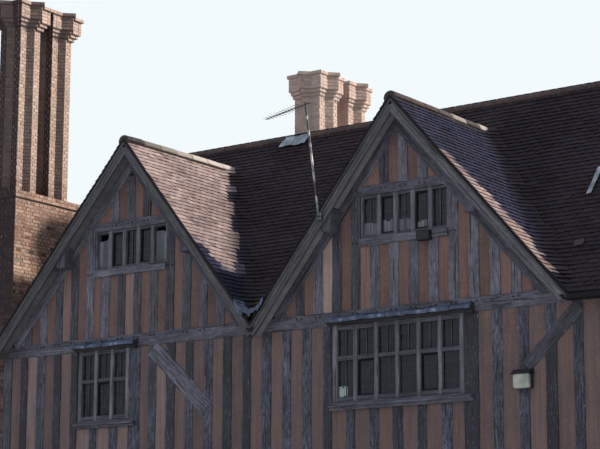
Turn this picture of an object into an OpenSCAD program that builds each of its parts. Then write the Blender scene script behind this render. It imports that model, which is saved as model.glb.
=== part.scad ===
// Close-studded timber house with two front gables and star-plan brick chimneys.
// Millimetres. +X runs along the front wall to the right, +Y into the house, +Z up.
// The origin is on the ground, under the main ridge, at the middle of the front wall's length.

/* [House] */
// Length of the front wall
house_l = 15900; // [15000:100:18000]
// Depth of the house between the outer faces of the front and back walls
house_d = 6400; // [6200:100:6800]
// Height of the brick plinth above the ground
plinth_h = 450; // [350:10:600]
// Thickness of the plinth walls
plinth_t = 280; // [240:10:360]
// How far the plinth stands proud of the timber wall
plinth_proud = 40; // [10:5:60]
// Top of the ground floor above the ground
ground_floor_z = 180; // [120:10:240]
// Underside of the girding beam, between the storeys
girt_z = 3100; // [3000:20:3200]
// Underside of the wall plate, under the roof
plate_z = 6200; // [6100:20:6300]
// Thickness of the upper floors, joists and boards together
floor_t = 150; // [100:10:200]

/* [Timbers] */
// Depth of every wall timber, outside face to inside face
frame_t = 180; // [150:10:220]
// Height of the sill beam and of the girding beam
beam_h = 220; // [180:10:260]
// Width of the corner posts
corner_post_w = 200; // [180:10:260]
// Width of an ordinary stud
stud_w = 180; // [150:5:200]
// How much the hewn studs differ in width
stud_wander = 14; // [0:1:20]
// Target distance between the studs of the front wall
front_pitch = 410; // [400:5:430]
// Target distance between the studs of the front wall from the right window on
right_pitch = 460; // [440:5:480]
// Target distance between the studs of the back and end walls
plain_pitch = 640; // [560:10:720]
// Width of the post on the left of a window
post_l = 160; // [140:10:200]
// Width of the post on the right of a window
post_r = 260; // [160:10:280]
// Width of a brace
brace_w = 210; // [130:10:240]
// Height from the head of a front brace to its foot
brace_rise = 840; // [700:10:950]
// Width of the wide brace beside the left window
left_brace_w = 290; // [240:10:320]
// Height from the head of that brace to its foot
left_brace_rise = 1110; // [1000:10:1200]
// Distance of the right brace's head from the middle of the right window
right_brace_in = 3230; // [3180:10:3300]
// Distance of the left brace's head from the edge of the left window
left_brace_in = 545; // [500:5:600]
// Thickness of the plastered infill panels
infill_t = 120; // [90:5:140]
// How far the panels lie behind the face of the timbers
infill_recess = 12; // [5:1:25]

/* [Gables] */
// Distance from the left end of the house to the left gable's apex
left_apex_x = 3020; // [2900:10:3100]
// Distance between the apexes of the two gables
apex_gap = 5580; // [5500:10:5700]
// Height of the left gable's tiled apex
left_apex_z = 9860; // [9700:10:9950]
// Height of the right gable's tiled apex
right_apex_z = 9770; // [9600:10:9950]
// Plan length of the left gable's left slope
left_run_l = 3180; // [3100:10:3260]
// Plan length of the left gable's right slope
left_run_r = 2890; // [2850:10:3000]
// Plan length of the right gable's left slope
right_run_l = 2840; // [2750:10:2900]
// Plan length of the right gable's right slope
right_run_r = 3110; // [3000:10:3200]
// Plumb depth of the raking timbers under the left slopes of the front gables
rake_l = 280; // [240:10:320]
// Plumb depth of the raking timbers under the right slopes of the front gables
rake_r = 430; // [380:10:480]
// Plumb depth of the raking timbers in the end gables
end_rake = 300; // [240:10:340]
// Distance between the studs in the left gable
left_gable_pitch = 367; // [350:1:400]
// Distance between the studs in the right gable
right_gable_pitch = 366; // [350:1:400]
// How far the left gable's studs and window stand left of its apex
left_gable_shift = 55; // [0:5:80]
// How far the right gable's studs and window stand right of its apex
right_gable_shift = 45; // [0:5:60]
// How much higher the left gable's window and collar are than the right one's
left_gable_lift = 60; // [0:5:80]
// Underside of the gable window's sill rail above the wall plate's underside
gable_sill_up = 1230; // [1150:10:1300]
// Height of the gable window's sill rail
gable_sill_h = 130; // [100:5:160]
// Underside of the collar above the wall plate's underside
collar_up = 2050; // [1980:10:2100]
// Height of the collar
collar_h = 155; // [130:5:220]
// Underside of the purlins' ends above the wall plate's underside
purlin_up = 1500; // [1400:10:1600]
// Width of the purlins' ends, which carry the verges
purlin_w = 190; // [160:10:240]
// Plumb depth of the purlins' ends under the roof
purlin_h = 300; // [240:10:340]

/* [Roof] */
// Height of the tiled eaves edge
eave_z = 6250; // [6220:10:6300]
// How far the eaves stand out from the wall
eave_out = 300; // [250:10:360]
// Height of the main roof where its tiled slopes meet
ridge_z = 10390; // [10250:10:10500]
// Plumb thickness of the main roof, rafters, battens and tiles together
roof_v = 300; // [285:5:320]
// Plumb height of the main roof's edge at the eaves, over its level soffit
eave_edge = 60; // [50:5:100]
// Plumb thickness of the gable roofs
gable_v = 180; // [150:5:220]
// Plumb thickness of the tile layer that covers the bargeboards
tile_v = 55; // [40:5:70]
// How far the gable verges stand out from the front wall
verge_out = 280; // [220:10:320]
// How far the main roof stands out beyond the end walls
end_out = 170; // [120:10:200]
// Thickness of the bargeboards
barge_t = 40; // [30:5:60]
// Plumb depth of the bargeboards
barge_v = 250; // [200:10:300]
// Radius of the half-round ridge tiles
ridge_r = 110; // [100:5:150]
// How far the centre of the ridge tiles lies under the meeting of the slopes
ridge_drop = 65; // [50:5:80]

/* [Windows] */
// Distance between the centres of neighbouring lights
light_pitch = 395; // [370:5:410]
// Distance between the centres of the lights in the window under the left gable
left_light_pitch = 365; // [350:5:400]
// Width of the jambs of a window frame
jamb_w = 90; // [70:5:110]
// Width of a mullion
mullion_w = 70; // [50:5:90]
// Depth of the window frames
window_t = 110; // [90:5:140]
// Width of the jambs of a gable window's frame
gable_jamb_w = 40; // [30:5:60]
// Width of a gable window's mullion
gable_mullion_w = 80; // [60:5:100]
// Height of the head and of the foot of a gable window's frame
gable_rail_h = 45; // [35:5:60]
// How far the window frames lie behind the face of the timbers
window_recess = 20; // [10:5:40]
// Distance of the left window's middle from the left gable's apex, to the left
left_window_in = 630; // [600:10:660]
// Distance of the right window's middle from the right gable's apex, to the left
right_window_in = 110; // [60:10:150]
// Distance between the middles of the back wall's windows
back_window_gap = 5400; // [5000:50:5800]
// Height of a big window, from the top of its sill to the wall plate
window_h = 1220; // [1100:10:1300]
// Height of the head of a window frame
head_h = 75; // [60:5:90]
// Height of the transom
transom_h = 70; // [50:5:90]
// Height of the transom's middle above the sill
transom_up = 690; // [600:10:760]
// Height of the projecting sill
sill_h = 140; // [110:5:160]
// How far the sill stands out from the wall
sill_out = 90; // [60:5:120]
// How far the back and end windows' sills run past the frame at each end
sill_horn = 60; // [20:5:80]
// How far the front windows' sills run past the frame on the left
front_sill_l = 10; // [5:5:60]
// How far the front windows' sills run past the frame on the right
front_sill_r = 170; // [120:5:200]
// How far the lead-covered hood stands out from the wall
hood_out = 150; // [120:5:200]
// How far the hood runs past the window frame on the left
hood_l = 60; // [30:5:100]
// How far the hood runs past the window frame on the right
hood_r = 210; // [160:5:230]
// Height of the hood
hood_h = 150; // [120:5:180]
// Thickness of the glass
glass_t = 6; // [4:1:10]
// Width of the iron casement's bars
casement_w = 28; // [20:1:36]
// Thickness of the iron casements
casement_t = 24; // [16:1:36]
// Lights in the big window under the right gable
right_lights = 6; // [5:1:6]
// Lights in the big window under the left gable
left_lights = 3; // [3:1:4]
// Lights in each window of the back and end walls
plain_lights = 4; // [3:1:4]
// Lights in each gable window
gable_lights = 5; // [4:1:6]

/* [Door] */
// Width of the doorway
door_w = 1000; // [900:10:1100]
// Height of the doorway above the floor
door_h = 2050; // [1950:10:2150]
// Distance of the doorway's middle from the right end of the house
door_in = 2300; // [2000:10:2600]
// Thickness of the plank door
door_t = 60; // [40:5:80]

/* [Chimneys] */
// Half the side of the two crossed squares in the left stack's shafts
left_star_a = 262; // [240:2:280]
// Half the side of the two crossed squares in the centre stack's shafts
centre_star_a = 285; // [260:2:300]
// Distance between the two shafts of a stack, in half sides
star_gap = 3.32; // [3.2:0.02:3.4]
// Ledge between the shafts' points and the edge of the stack's base
star_ledge = 100; // [80:5:140]
// Top of the left stack's base
left_base_z = 9400; // [9300:10:9500]
// Top of the centre stack's base
centre_base_z = 10300; // [10200:10:10350]
// Underside of the left stack's caps
left_cap_z = 12660; // [12300:20:12800]
// Underside of the centre stack's caps
centre_cap_z = 11270; // [11100:10:11400]
// How far the left stack's caps oversail its shafts
left_cap_out = 130; // [100:5:150]
// How far the centre stack's caps oversail its shafts
centre_cap_out = 85; // [70:5:110]
// Height of one brick course
course = 66; // [62:1:75]
// Distance from the front wall's face back to the left stack
left_stack_back = 150; // [100:10:200]
// How far the top courses of the left stack's base stand proud
band_out = 30; // [20:5:40]
// How far the foot of the left stack's base reaches beyond its upper part
stack_foot_out = 150; // [100:10:200]
// Height of the foot of the left stack's base
stack_foot_h = 1500; // [1300:50:1700]
// Distance of the centre stack's middle from the left gable's apex, to the right
centre_stack_in = 1130; // [1050:10:1200]
// Distance of the centre stack's face behind the main ridge
centre_stack_back = 200; // [150:10:250]
// Diameter of the flues
flue_d = 230; // [200:10:260]
// Depth of the open flue below the cap's top
flue_deep = 1200; // [900:50:1500]

/* [Fittings] */
// Distance of the aerial's mast from the right gable's apex, to the left
mast_in = 1360; // [1300:10:1400]
// Length of the aerial's mast
mast_l = 1960; // [1700:20:2100]
// Diameter of the aerial's mast
mast_d = 38; // [30:2:48]
// How far the mast leans to the left, in degrees
mast_lean = 8; // [0:1:12]
// Length of the aerial's boom
boom_l = 1300; // [1000:20:1400]
// Length of the aerial's longest rod
rod_l = 300; // [260:10:340]
// Width of the wall light
light_w = 300; // [240:10:320]
// Height of the wall light
light_h = 290; // [260:10:340]
// How far the wall light stands out from the wall
light_out = 135; // [110:5:160]
// Distance of the wall light from the middle of the right window
light_in = 2280; // [2200:10:2300]
// Width of the small lamp on the right gable window's sill rail
lamp_w = 240; // [180:10:260]
// Height of the small lamp
lamp_h = 150; // [110:10:170]
// Width of the metal plates over the flues
cover_w = 360; // [320:10:400]
// Height of the gap under the metal plates
cover_up = 70; // [50:5:90]

/* [Hidden] */
$fn = 48;
// A cut runs past what it cuts by this much
e = 1;
// Longer than the whole house, for cuts that pass right through
far = 20000;

x_left = -house_l / 2;
x_right = house_l / 2;
y_front = -house_d / 2;
y_eave = y_front - eave_out;
y_verge = y_front - verge_out;
girt_top = girt_z + beam_h;
plate_top = plate_z + beam_h;
sill_top = plinth_h + beam_h;
roof_l = x_left - end_out;
roof_r = x_right + end_out;

// Each gable: apex x, apex z, plan length of the left slope, plan length of the right slope,
// distance between the studs, x of the window's middle, how much higher its window is
left_gable = [x_left + left_apex_x, left_apex_z, left_run_l, left_run_r, left_gable_pitch,
              x_left + left_apex_x - left_gable_shift, left_gable_lift];
right_gable = [left_gable[0] + apex_gap, right_apex_z, right_run_l, right_run_r, right_gable_pitch,
               left_gable[0] + apex_gap + right_gable_shift, 0];
gables = [left_gable, right_gable];

function tan_l(g) = (g[1] - eave_z) / g[2];
function tan_r(g) = (g[1] - eave_z) / g[3];
main_tan = (ridge_z - eave_z) / (-y_eave);
// Height of the main roof's tiled surface at a distance y from the ridge
function main_z(y) = ridge_z - main_tan * abs(y);
// Where the two gables' facing slopes cross
valley_x = (right_gable[1] - left_gable[1] - tan_l(right_gable) * right_gable[0]
            - tan_r(left_gable) * left_gable[0]) / (-tan_r(left_gable) - tan_l(right_gable));
valley_z = left_gable[1] - tan_r(left_gable) * (valley_x - left_gable[0]);

// Windows in a wall: left edge, right edge, bottom of the frame, top of the frame, lights,
// width of the jambs, width of the mullions, height of the head and foot
function window_at(x, n, top, pitch = light_pitch) = let (w = n * pitch + jamb_w)
    [x - w / 2, x + w / 2, top - window_h, top, n, jamb_w, mullion_w, head_h];
left_window_x = left_gable[0] - left_window_in;
right_window_x = right_gable[0] - right_window_in;
door_x = x_right - door_in;
doorway = [door_x - door_w / 2, door_x + door_w / 2, ground_floor_z, ground_floor_z + door_h, 0];
front_upper = [window_at(left_window_x, left_lights, plate_z, left_light_pitch),
               window_at(right_window_x, right_lights, plate_z)];
front_ground = [window_at(left_window_x, left_lights, girt_z, left_light_pitch),
                window_at(right_window_x, right_lights, girt_z), doorway];
back_xs = [-back_window_gap, 0, back_window_gap];
back_upper = [for (x = back_xs) window_at(x, plain_lights, plate_z)];
back_ground = [for (x = back_xs) window_at(x, plain_lights, girt_z)];
end_upper = [window_at(0, plain_lights, plate_z)];
end_ground = [window_at(0, plain_lights, girt_z)];
// A gable window fills the space of five studs between its posts
window_half_bays = 2.5;
function gable_half(g) = window_half_bays * g[4] - stud_w / 2;
function gable_window(g) = [g[5] - gable_half(g), g[5] + gable_half(g),
                            plate_z + gable_sill_up + gable_sill_h + g[6], plate_z + collar_up + g[6],
                            gable_lights, gable_jamb_w, gable_mullion_w, gable_rail_h];

// Chimney stacks
left_star_gap = star_gap * left_star_a;
centre_star_gap = star_gap * centre_star_a;
function base_w(a) = 2 * (sqrt(2) * a + star_ledge);
left_stack = [x_left - base_w(left_star_a) / 2, y_front + left_stack_back + base_w(left_star_a) / 2];
centre_stack = [left_gable[0] + centre_stack_in, centre_stack_back + base_w(centre_star_a) / 2];
// A cap has three corbelled courses, three plain ones and a lip
corbels = 3;
plain_courses = 3;
cap_h = (corbels + plain_courses + 1) * course;
lip_share = 0.3;

oak = "#8d8c8e";
plaster = "#b5795c";
brick = "#a2583f";
tile = "#6b4a41";
lead = "#9fb0c0";

// A box given by its two corners
module block(a, b) { translate(a) cube(b - a); }
// An outline in X and Z, carried from y0 to y1
module xz_prism(points, y0, y1) {
    translate([0, y1, 0]) rotate([90, 0, 0]) linear_extrude(y1 - y0) polygon(points);
}
// An outline in Y and Z, carried from x0 to x1
module yz_prism(points, x0, x1) {
    translate([x0, 0, 0]) rotate([90, 0, 90]) linear_extrude(x1 - x0) polygon(points);
}
// Places a wall drawn along X with its outer face at y = 0
module on_front() { translate([0, y_front, 0]) children(); }
module on_back() { translate([0, -y_front, 0]) rotate([0, 0, 180]) children(); }
module on_left() { translate([x_left, 0, 0]) rotate([0, 0, -90]) children(); }
module on_right() { translate([x_right, 0, 0]) rotate([0, 0, 90]) children(); }

// The four corners of a straight strip of width w, from p to q
function strip(p, q, w) = let (d = (q - p) / norm(q - p), n = [-d[1], d[0]] * w / 2)
    [p + n, p - n, q - n, q + n];

// The main roof's outline in Y and Z, from drop_a to drop_b under the tiled surface
function slope(drop_a, drop_b, y0) = [[y0, main_z(y0) - drop_a], [0, ridge_z - drop_a],
                                      [0, ridge_z - drop_b], [y0, main_z(y0) - drop_b]];
// All that lies under the main roof's tiled surface, in front of the ridge
module under_main() {
    yz_prism([[y_eave, 0], [y_eave, eave_z], [0, ridge_z], [0, 0]], -far, far);
}
// A gable's outline at a plumb drop under each of its slopes, down to a level
function gable_peak(g, drop_l, drop_r) =
    let (s = (drop_l - drop_r) / (tan_l(g) + tan_r(g))) [g[0] + s, g[1] - drop_l + tan_l(g) * s];
function gable_fill(g, drop_l, drop_r, z0) = [
    [g[0] - (g[1] - drop_l - z0) / tan_l(g), z0], gable_peak(g, drop_l, drop_r),
    [g[0] + (g[1] - drop_r - z0) / tan_r(g), z0]];
// A gable's two slopes as one bent strip between two plumb drops
function gable_band(g, drop_a, drop_b, z0) = [
    [g[0] - (g[1] - drop_a - z0) / tan_l(g), z0], [g[0], g[1] - drop_a],
    [g[0] + (g[1] - drop_a - z0) / tan_r(g), z0], [g[0] + (g[1] - drop_b - z0) / tan_r(g), z0],
    [g[0], g[1] - drop_b], [g[0] - (g[1] - drop_b - z0) / tan_l(g), z0]];

// Walls: openings in a row give the anchors between which the studs are spaced
function anchors(ops, half) = concat([-half], [for (o = ops) each [o[0] - post_l / 2, o[1] + post_r / 2]],
                                     [half]);
function hewn(i) = stud_w + stud_wander * sin(i * 137);
module stud_row(a, b, z0, z1, pitch) {
    n = round((b - a) / pitch);
    if (n > 1) for (i = [1 : n - 1]) {
        x = a + (b - a) * i / n;
        w = hewn(i + n + round(a / 100));
        block([x - w / 2, 0, z0], [x + w / 2, frame_t, z1]);
    }
}
// The posts beside the openings, and the studs between, under and over them. The first two rows between
// openings have the first pitch, everything else the second one.
first_rows = 2;
module wall_timbers(ops, half, z0, z1, pitches) {
    pitch = pitches[1];
    a = anchors(ops, half);
    for (o = ops) {
        block([o[0] - post_l, 0, z0], [o[0], frame_t, z1]);
        block([o[1], 0, z0], [o[1] + post_r, frame_t, z1]);
    }
    for (i = [0 : len(ops)]) stud_row(a[2 * i], a[2 * i + 1], z0, z1, pitches[i < first_rows ? 0 : 1]);
    for (i = [0 : len(ops) - 1]) {
        o = ops[i];
        if (o[4] > 0) stud_row(a[2 * i + 1], a[2 * i + 2], z0, o[2] - sill_h, pitch);
        if (o[3] < z1) stud_row(a[2 * i + 1], a[2 * i + 2], o[3] + (o[4] > 0 ? 0 : head_h), z1, pitch);
    }
}
module openings(ops) {
    for (o = ops) block([o[0], -frame_t, o[2] - (o[4] > 0 ? sill_h : 0)],
                        [o[1], 2 * frame_t, o[3] + (o[4] > 0 ? 0 : head_h)]);
}
module panel_sheet(x0, x1, z0, z1) {
    block([x0, infill_recess, z0], [x1, infill_recess + infill_t, z1]);
}
module wall_panels(ops, half, x_edge, z0, z1, pitches) {
    difference() {
        panel_sheet(-x_edge, x_edge, z0, z1);
        translate([0, -e, -e]) wall_timbers(ops, half, z0, z1 + 2 * e, pitches);
        openings(ops);
    }
}

// Braces of the front wall: head and foot in X and Z, and the width
front_half = x_right - corner_post_w / 2;
brace_slant = 1.08;
brace_drop = 60;
function brace(x, side, top, rise = brace_rise, w = brace_w) =
    [[x, top - brace_drop], [x + side * brace_slant * rise, top - brace_drop - rise], w];
front_braces = [brace(front_upper[0][1] + left_brace_in, 1, plate_z, left_brace_rise, left_brace_w),
                brace(right_window_x + right_brace_in, -1, plate_z),
                brace(x_right - corner_post_w, -1, plate_z),
                brace(x_left + corner_post_w, 1, girt_z)];
module brace_strips(grow) {
    for (b = front_braces) xz_prism(strip(b[0], b[1], b[2]), -grow, frame_t + grow);
}

module long_plinths() color(brick) {
    for (s = [0, 1]) mirror([0, s, 0]) difference() {
        block([x_left - plinth_proud, y_front - plinth_proud, 0],
              [x_right + plinth_proud, y_front - plinth_proud + plinth_t, plinth_h]);
        if (s == 0) block([doorway[0], -far, ground_floor_z], [doorway[1], 0, plinth_h + e]);
        left_stack_box();
    }
}
module end_plinths() color(brick) {
    y = -y_front + plinth_proud - plinth_t;
    difference() {
        for (s = [0, 1]) mirror([s, 0, 0])
            block([x_right + plinth_proud - plinth_t, -y, 0], [x_right + plinth_proud, y, plinth_h]);
        left_stack_box();
    }
}
inner_x = x_right - frame_t;
inner_y = -y_front - frame_t;
module floor_slab(x, y, z0, z1) {
    difference() {
        block([-x, -y, z0], [x, y, z1]);
        centre_stack_box();
    }
}
module ground_floor() color("#8b6f5e")
    floor_slab(x_right + plinth_proud - plinth_t, -y_front + plinth_proud - plinth_t, 0, ground_floor_z);
module first_floor() color("#8a7a66") floor_slab(inner_x, inner_y, girt_top - floor_t, girt_top);
module attic_floor() color("#8a7a66") floor_slab(inner_x, inner_y, plate_top - floor_t, plate_top);

module long_beam(z, x) { block([-x, 0, z], [x, frame_t, z + beam_h]); }
module front_beams() color(oak) on_front() {
    difference() {
        long_beam(plinth_h, x_right);
        openings([doorway]);
    }
    long_beam(girt_z, x_right - corner_post_w);
    long_beam(plate_z, x_right);
}
module back_beams() color(oak) on_back() {
    long_beam(plinth_h, x_right);
    long_beam(girt_z, x_right - corner_post_w);
    long_beam(plate_z, x_right);
}
module end_beams() color(oak) {
    on_left() for (z = [plinth_h, girt_z, plate_z]) long_beam(z, inner_y);
    on_right() for (z = [plinth_h, girt_z, plate_z]) long_beam(z, inner_y);
}
module corner_posts() color(oak) {
    for (sx = [0, 1]) for (sy = [0, 1]) mirror([sx, 0, 0]) mirror([0, sy, 0])
        block([x_right - corner_post_w, -y_front - frame_t, sill_top], [x_right, -y_front, plate_z]);
}

front_pitches = [front_pitch, right_pitch];
plain_pitches = [plain_pitch, plain_pitch];
module front_timbers() {
    wall_timbers(front_ground, front_half, sill_top, girt_z, front_pitches);
    wall_timbers(front_upper, front_half, girt_top, plate_z, front_pitches);
}
module front_wall_studs() color(oak) on_front() difference() {
    front_timbers();
    difference() {
        brace_strips(e);
        brace_ends();
    }
    openings([doorway]);
}
// The posts and beams that the braces are housed against
module brace_ends() {
    y0 = -2 * e;
    y1 = frame_t + 2 * e;
    for (o = concat(front_upper, front_ground)) {
        block([o[0] - post_l, y0, sill_top], [o[0], y1, plate_z]);
        block([o[1], y0, sill_top], [o[1] + post_r, y1, plate_z]);
    }
    for (z = [girt_z, plate_z]) block([x_left, y0, z], [x_right, y1, z + beam_h]);
    for (s = [0, 1]) mirror([s, 0, 0]) block([x_right - corner_post_w, y0, 0], [x_right, y1, plate_z]);
}
module braces() color(oak) on_front() difference() {
    brace_strips(0);
    brace_ends();
}
module back_wall_studs() color(oak) on_back() {
    wall_timbers(back_ground, front_half, sill_top, girt_z, plain_pitches);
    wall_timbers(back_upper, front_half, girt_top, plate_z, plain_pitches);
}
module end_wall_studs() color(oak) {
    on_right() {
        wall_timbers(end_ground, inner_y, sill_top, girt_z, plain_pitches);
        wall_timbers(end_upper, inner_y, girt_top, plate_z, plain_pitches);
    }
    on_left() {
        stud_row(-inner_y, inner_y, sill_top, girt_z, plain_pitch);
        stud_row(-inner_y, inner_y, girt_top, plate_z, plain_pitch);
    }
}

module storey_panels(ground, upper, half, x_edge, pitches) {
    wall_panels(ground, half, x_edge, sill_top, girt_z, pitches);
    wall_panels(upper, half, x_edge, girt_top, plate_z, pitches);
}
post_in = x_right - corner_post_w;
module front_wall_infill() color(plaster) on_front() difference() {
    storey_panels(front_ground, front_upper, front_half, post_in, front_pitches);
    brace_strips(e);
    openings([doorway]);
}
module back_wall_infill() color(plaster) on_back()
    storey_panels(back_ground, back_upper, front_half, post_in, plain_pitches);
module end_wall_infill() color(plaster) {
    on_right() storey_panels(end_ground, end_upper, inner_y, inner_y, plain_pitches);
    on_left() difference() {
        for (z = [[sill_top, girt_z], [girt_top, plate_z]]) panel_sheet(-inner_y, inner_y, z[0], z[1]);
        for (z = [[sill_top, girt_z], [girt_top, plate_z]]) translate([0, -e, -e])
            stud_row(-inner_y, inner_y, z[0], z[1] + 2 * e, plain_pitch);
    }
}

// Gable walls of the front, drawn at y = 0 with the wall plate's top as their base
module inside_rakes(g, grow) {
    xz_prism(gable_fill(g, gable_v + rake_l, gable_v + rake_r, plate_top - grow), -grow, frame_t + grow);
}
module gable_rakes(g) {
    difference() {
        xz_prism(gable_fill(g, gable_v, gable_v, plate_top), 0, frame_t);
        inside_rakes(g, e);
    }
}
module gable_opening(g) {
    w = gable_window(g);
    block([w[0], -e, w[2]], [w[1], frame_t + e, w[3]]);
}
module collar(g, grow) {
    z = gable_window(g)[3];
    block([g[0] - left_run_l, -grow, z], [g[0] + left_run_l, frame_t + grow, z + collar_h]);
}
// Studs up to the sill rail under the window, up to the rakes beside it, and over the collar
most_studs = 8;
module gable_studs(g) {
    w = gable_window(g);
    intersection() {
        inside_rakes(g, 0);
        union() {
            for (i = [-most_studs : most_studs - 1]) {
                x = g[5] + (i + 0.5) * g[4];
                top = abs(i + 0.5) < window_half_bays ? w[2] - gable_sill_h : g[1];
                block([x - stud_w / 2, 0, plate_top], [x + stud_w / 2, frame_t, top]);
            }
            for (i = [-1 : 1]) translate([g[5] + i * g[4], 0, 0])
                block([-stud_w / 2, 0, w[3] + collar_h], [stud_w / 2, frame_t, g[1]]);
        }
    }
}
module gable_rails(g) {
    w = gable_window(g);
    intersection() {
        inside_rakes(g, 0);
        union() {
            block([w[0], 0, w[2] - gable_sill_h], [w[1], frame_t, w[2]]);
            collar(g, 0);
        }
    }
}
module gable_timbers(g) {
    difference() {
        union() {
            gable_rakes(g);
            difference() {
                gable_studs(g);
                collar(g, e);
            }
        }
        gable_opening(g);
    }
    gable_rails(g);
}
// Ends of the purlins, from the gable wall out to the bargeboards, cut to the slope on top
module purlin_ends(g) {
    top = plate_z + purlin_up + purlin_h;
    drop = g[1] - gable_v - top;
    intersection() {
        xz_prism(gable_fill(g, gable_v, gable_v, plate_top), -verge_out + barge_t, e);
        for (x = [g[0] - drop / tan_l(g), g[0] + drop / tan_r(g)])
            block([x - purlin_w / 2, -verge_out, top - purlin_h], [x + purlin_w / 2, frame_t, g[1]]);
    }
}
module front_gable_frames() color(oak) on_front() for (g = gables) {
    gable_timbers(g);
    purlin_ends(g);
}
module front_gable_infill() color(plaster) on_front() for (g = gables) difference() {
    xz_prism(gable_fill(g, gable_v + rake_l, gable_v + rake_r, plate_top), infill_recess, infill_recess + infill_t);
    translate([0, -e, 0]) gable_timbers(g);
    gable_opening(g);
}

// Gable walls at the two ends, under the main roof
function end_fill(drop, z0) = let (h = (ridge_z - drop - z0) / main_tan) [[-h, z0], [0, ridge_z - drop], [h, z0]];
// The end gables' collar is level with the front gables' collars
end_collar_z = plate_z + collar_up;
module end_gable_timbers() {
    xz_prism(concat(end_fill(roof_v, plate_top), [for (i = [2 : -1 : 0]) end_fill(roof_v + end_rake, plate_top)[i]]),
             0, frame_t);
    intersection() {
        xz_prism(end_fill(roof_v + end_rake, plate_top), 0, frame_t);
        union() {
            block([-house_d, 0, end_collar_z], [house_d, frame_t, end_collar_z + collar_h]);
            for (i = [-5 : 5]) block([i * plain_pitch - stud_w / 2, 0, plate_top],
                                     [i * plain_pitch + stud_w / 2, frame_t, ridge_z]);
        }
    }
}
module end_gable_sheet() {
    difference() {
        xz_prism(end_fill(roof_v + end_rake, plate_top), infill_recess, infill_recess + infill_t);
        translate([0, -e, 0]) end_gable_timbers();
    }
}
module end_gable_frames() color(oak) {
    on_left() end_gable_timbers();
    on_right() end_gable_timbers();
}
module end_gable_infill() color(plaster) {
    on_left() end_gable_sheet();
    on_right() end_gable_sheet();
}

// Roof slopes
module wall_plates() {
    for (s = [0, 1]) mirror([0, s, 0]) block([x_left, y_front, plate_z], [x_right, y_front + frame_t, plate_top]);
    for (s = [0, 1]) mirror([s, 0, 0]) block([x_right - frame_t, y_front, plate_z], [x_right, -y_front, plate_top]);
}
// What is cut from under the eaves in front of the wall, for a level soffit
module under_eaves() { block([-far, y_eave - e, 0], [far, y_front, eave_z - eave_edge]); }
module main_roof_front() color(tile) difference() {
    yz_prism(slope(0, roof_v, y_eave), roof_l, roof_r);
    for (g = gables) xz_prism(gable_fill(g, gable_v, gable_v, 0), y_eave - frame_t, 0);
    under_eaves();
    wall_plates();
    left_stack_box();
}
module main_roof_back() color(tile) difference() {
    mirror([0, 1, 0]) difference() {
        yz_prism(slope(0, roof_v, y_eave), roof_l, roof_r);
        under_eaves();
    }
    wall_plates();
    centre_stack_box();
}
// How far the verge tiles oversail the bargeboards
verge_lip = 20;
module gable_roof(g) {
    difference() {
        union() {
            xz_prism(gable_band(g, 0, tile_v, eave_z - roof_v), y_verge - verge_lip, 0);
            xz_prism(gable_band(g, tile_v - e, gable_v, eave_z - roof_v), y_verge + barge_t, 0);
        }
        under_main();
        wall_plates();
        left_stack_box();
    }
}
module left_gable_roof() color(tile) intersection() {
    gable_roof(left_gable);
    block([roof_l, -far, 0], [valley_x, far, far]);
}
module right_gable_roof() color(tile) intersection() {
    gable_roof(right_gable);
    block([valley_x, -far, 0], [right_gable[0] + right_run_r, far, far]);
}

// Half-round ridge tiles, bedded on the slopes
module ridge_round() { translate([0, -ridge_drop]) circle(ridge_r); }
// Ends of the lead saddle that covers the ridge in front of the centre stack
saddle_x = [centre_stack[0] - star_ledge * 1.5, centre_stack[0] + 4 * star_ledge];
module ridge_tiles() color("#8a4f3c") {
    difference() {
        for (r = [[roof_l, saddle_x[0]], [saddle_x[1], roof_r]])
            translate([r[0], 0, ridge_z]) rotate([90, 0, 90]) linear_extrude(r[1] - r[0]) ridge_round();
        under_main();
        mirror([0, 1, 0]) under_main();
    }
    for (g = gables) difference() {
        translate([g[0], 0, g[1]]) rotate([90, 0, 0]) linear_extrude(-y_verge + verge_lip) ridge_round();
        xz_prism(gable_fill(g, 0, 0, 0), -far, far);
        under_main();
    }
}
// Each gable has two boards that butt at the apex; neighbours butt again at the valley
barge_foot = 150;
mitre_gap = 2;
module barge_pair(g, x0, x1) {
    intersection() {
        xz_prism(gable_band(g, tile_v, tile_v + barge_v, eave_z - barge_foot), y_verge, y_verge + barge_t);
        union() {
            block([x0, -far, 0], [g[0] - mitre_gap / 2, far, far]);
            block([g[0] + mitre_gap / 2, -far, 0], [x1, far, far]);
        }
    }
}
module bargeboards() color(oak) difference() {
    union() {
        barge_pair(left_gable, roof_l, valley_x - mitre_gap / 2);
        barge_pair(right_gable, valley_x + mitre_gap / 2, far);
    }
    under_main();
}
// Lead saddle on the main ridge and the lead outlet at the foot of the valley
lead_t = 12;
saddle_run = 260;
outlet_run = 300;
outlet_lip = 60;
outlet_tail = 120;
function vee(x, z, tl, tr, run, t) = [[x - run, z + tl * run], [x, z], [x + run, z + tr * run],
                                      [x + run, z + tr * run + t], [x, z + t], [x - run, z + tl * run + t]];
module lead_work() color(lead) {
    yz_prism(vee(0, ridge_z, -main_tan, -main_tan, saddle_run, lead_t), saddle_x[0], saddle_x[1]);
    difference() {
        xz_prism(vee(valley_x, valley_z, tan_r(left_gable), tan_l(right_gable), outlet_run, 2 * lead_t),
                 y_verge - outlet_lip, y_front + outlet_tail);
        under_main();
    }
}

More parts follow.
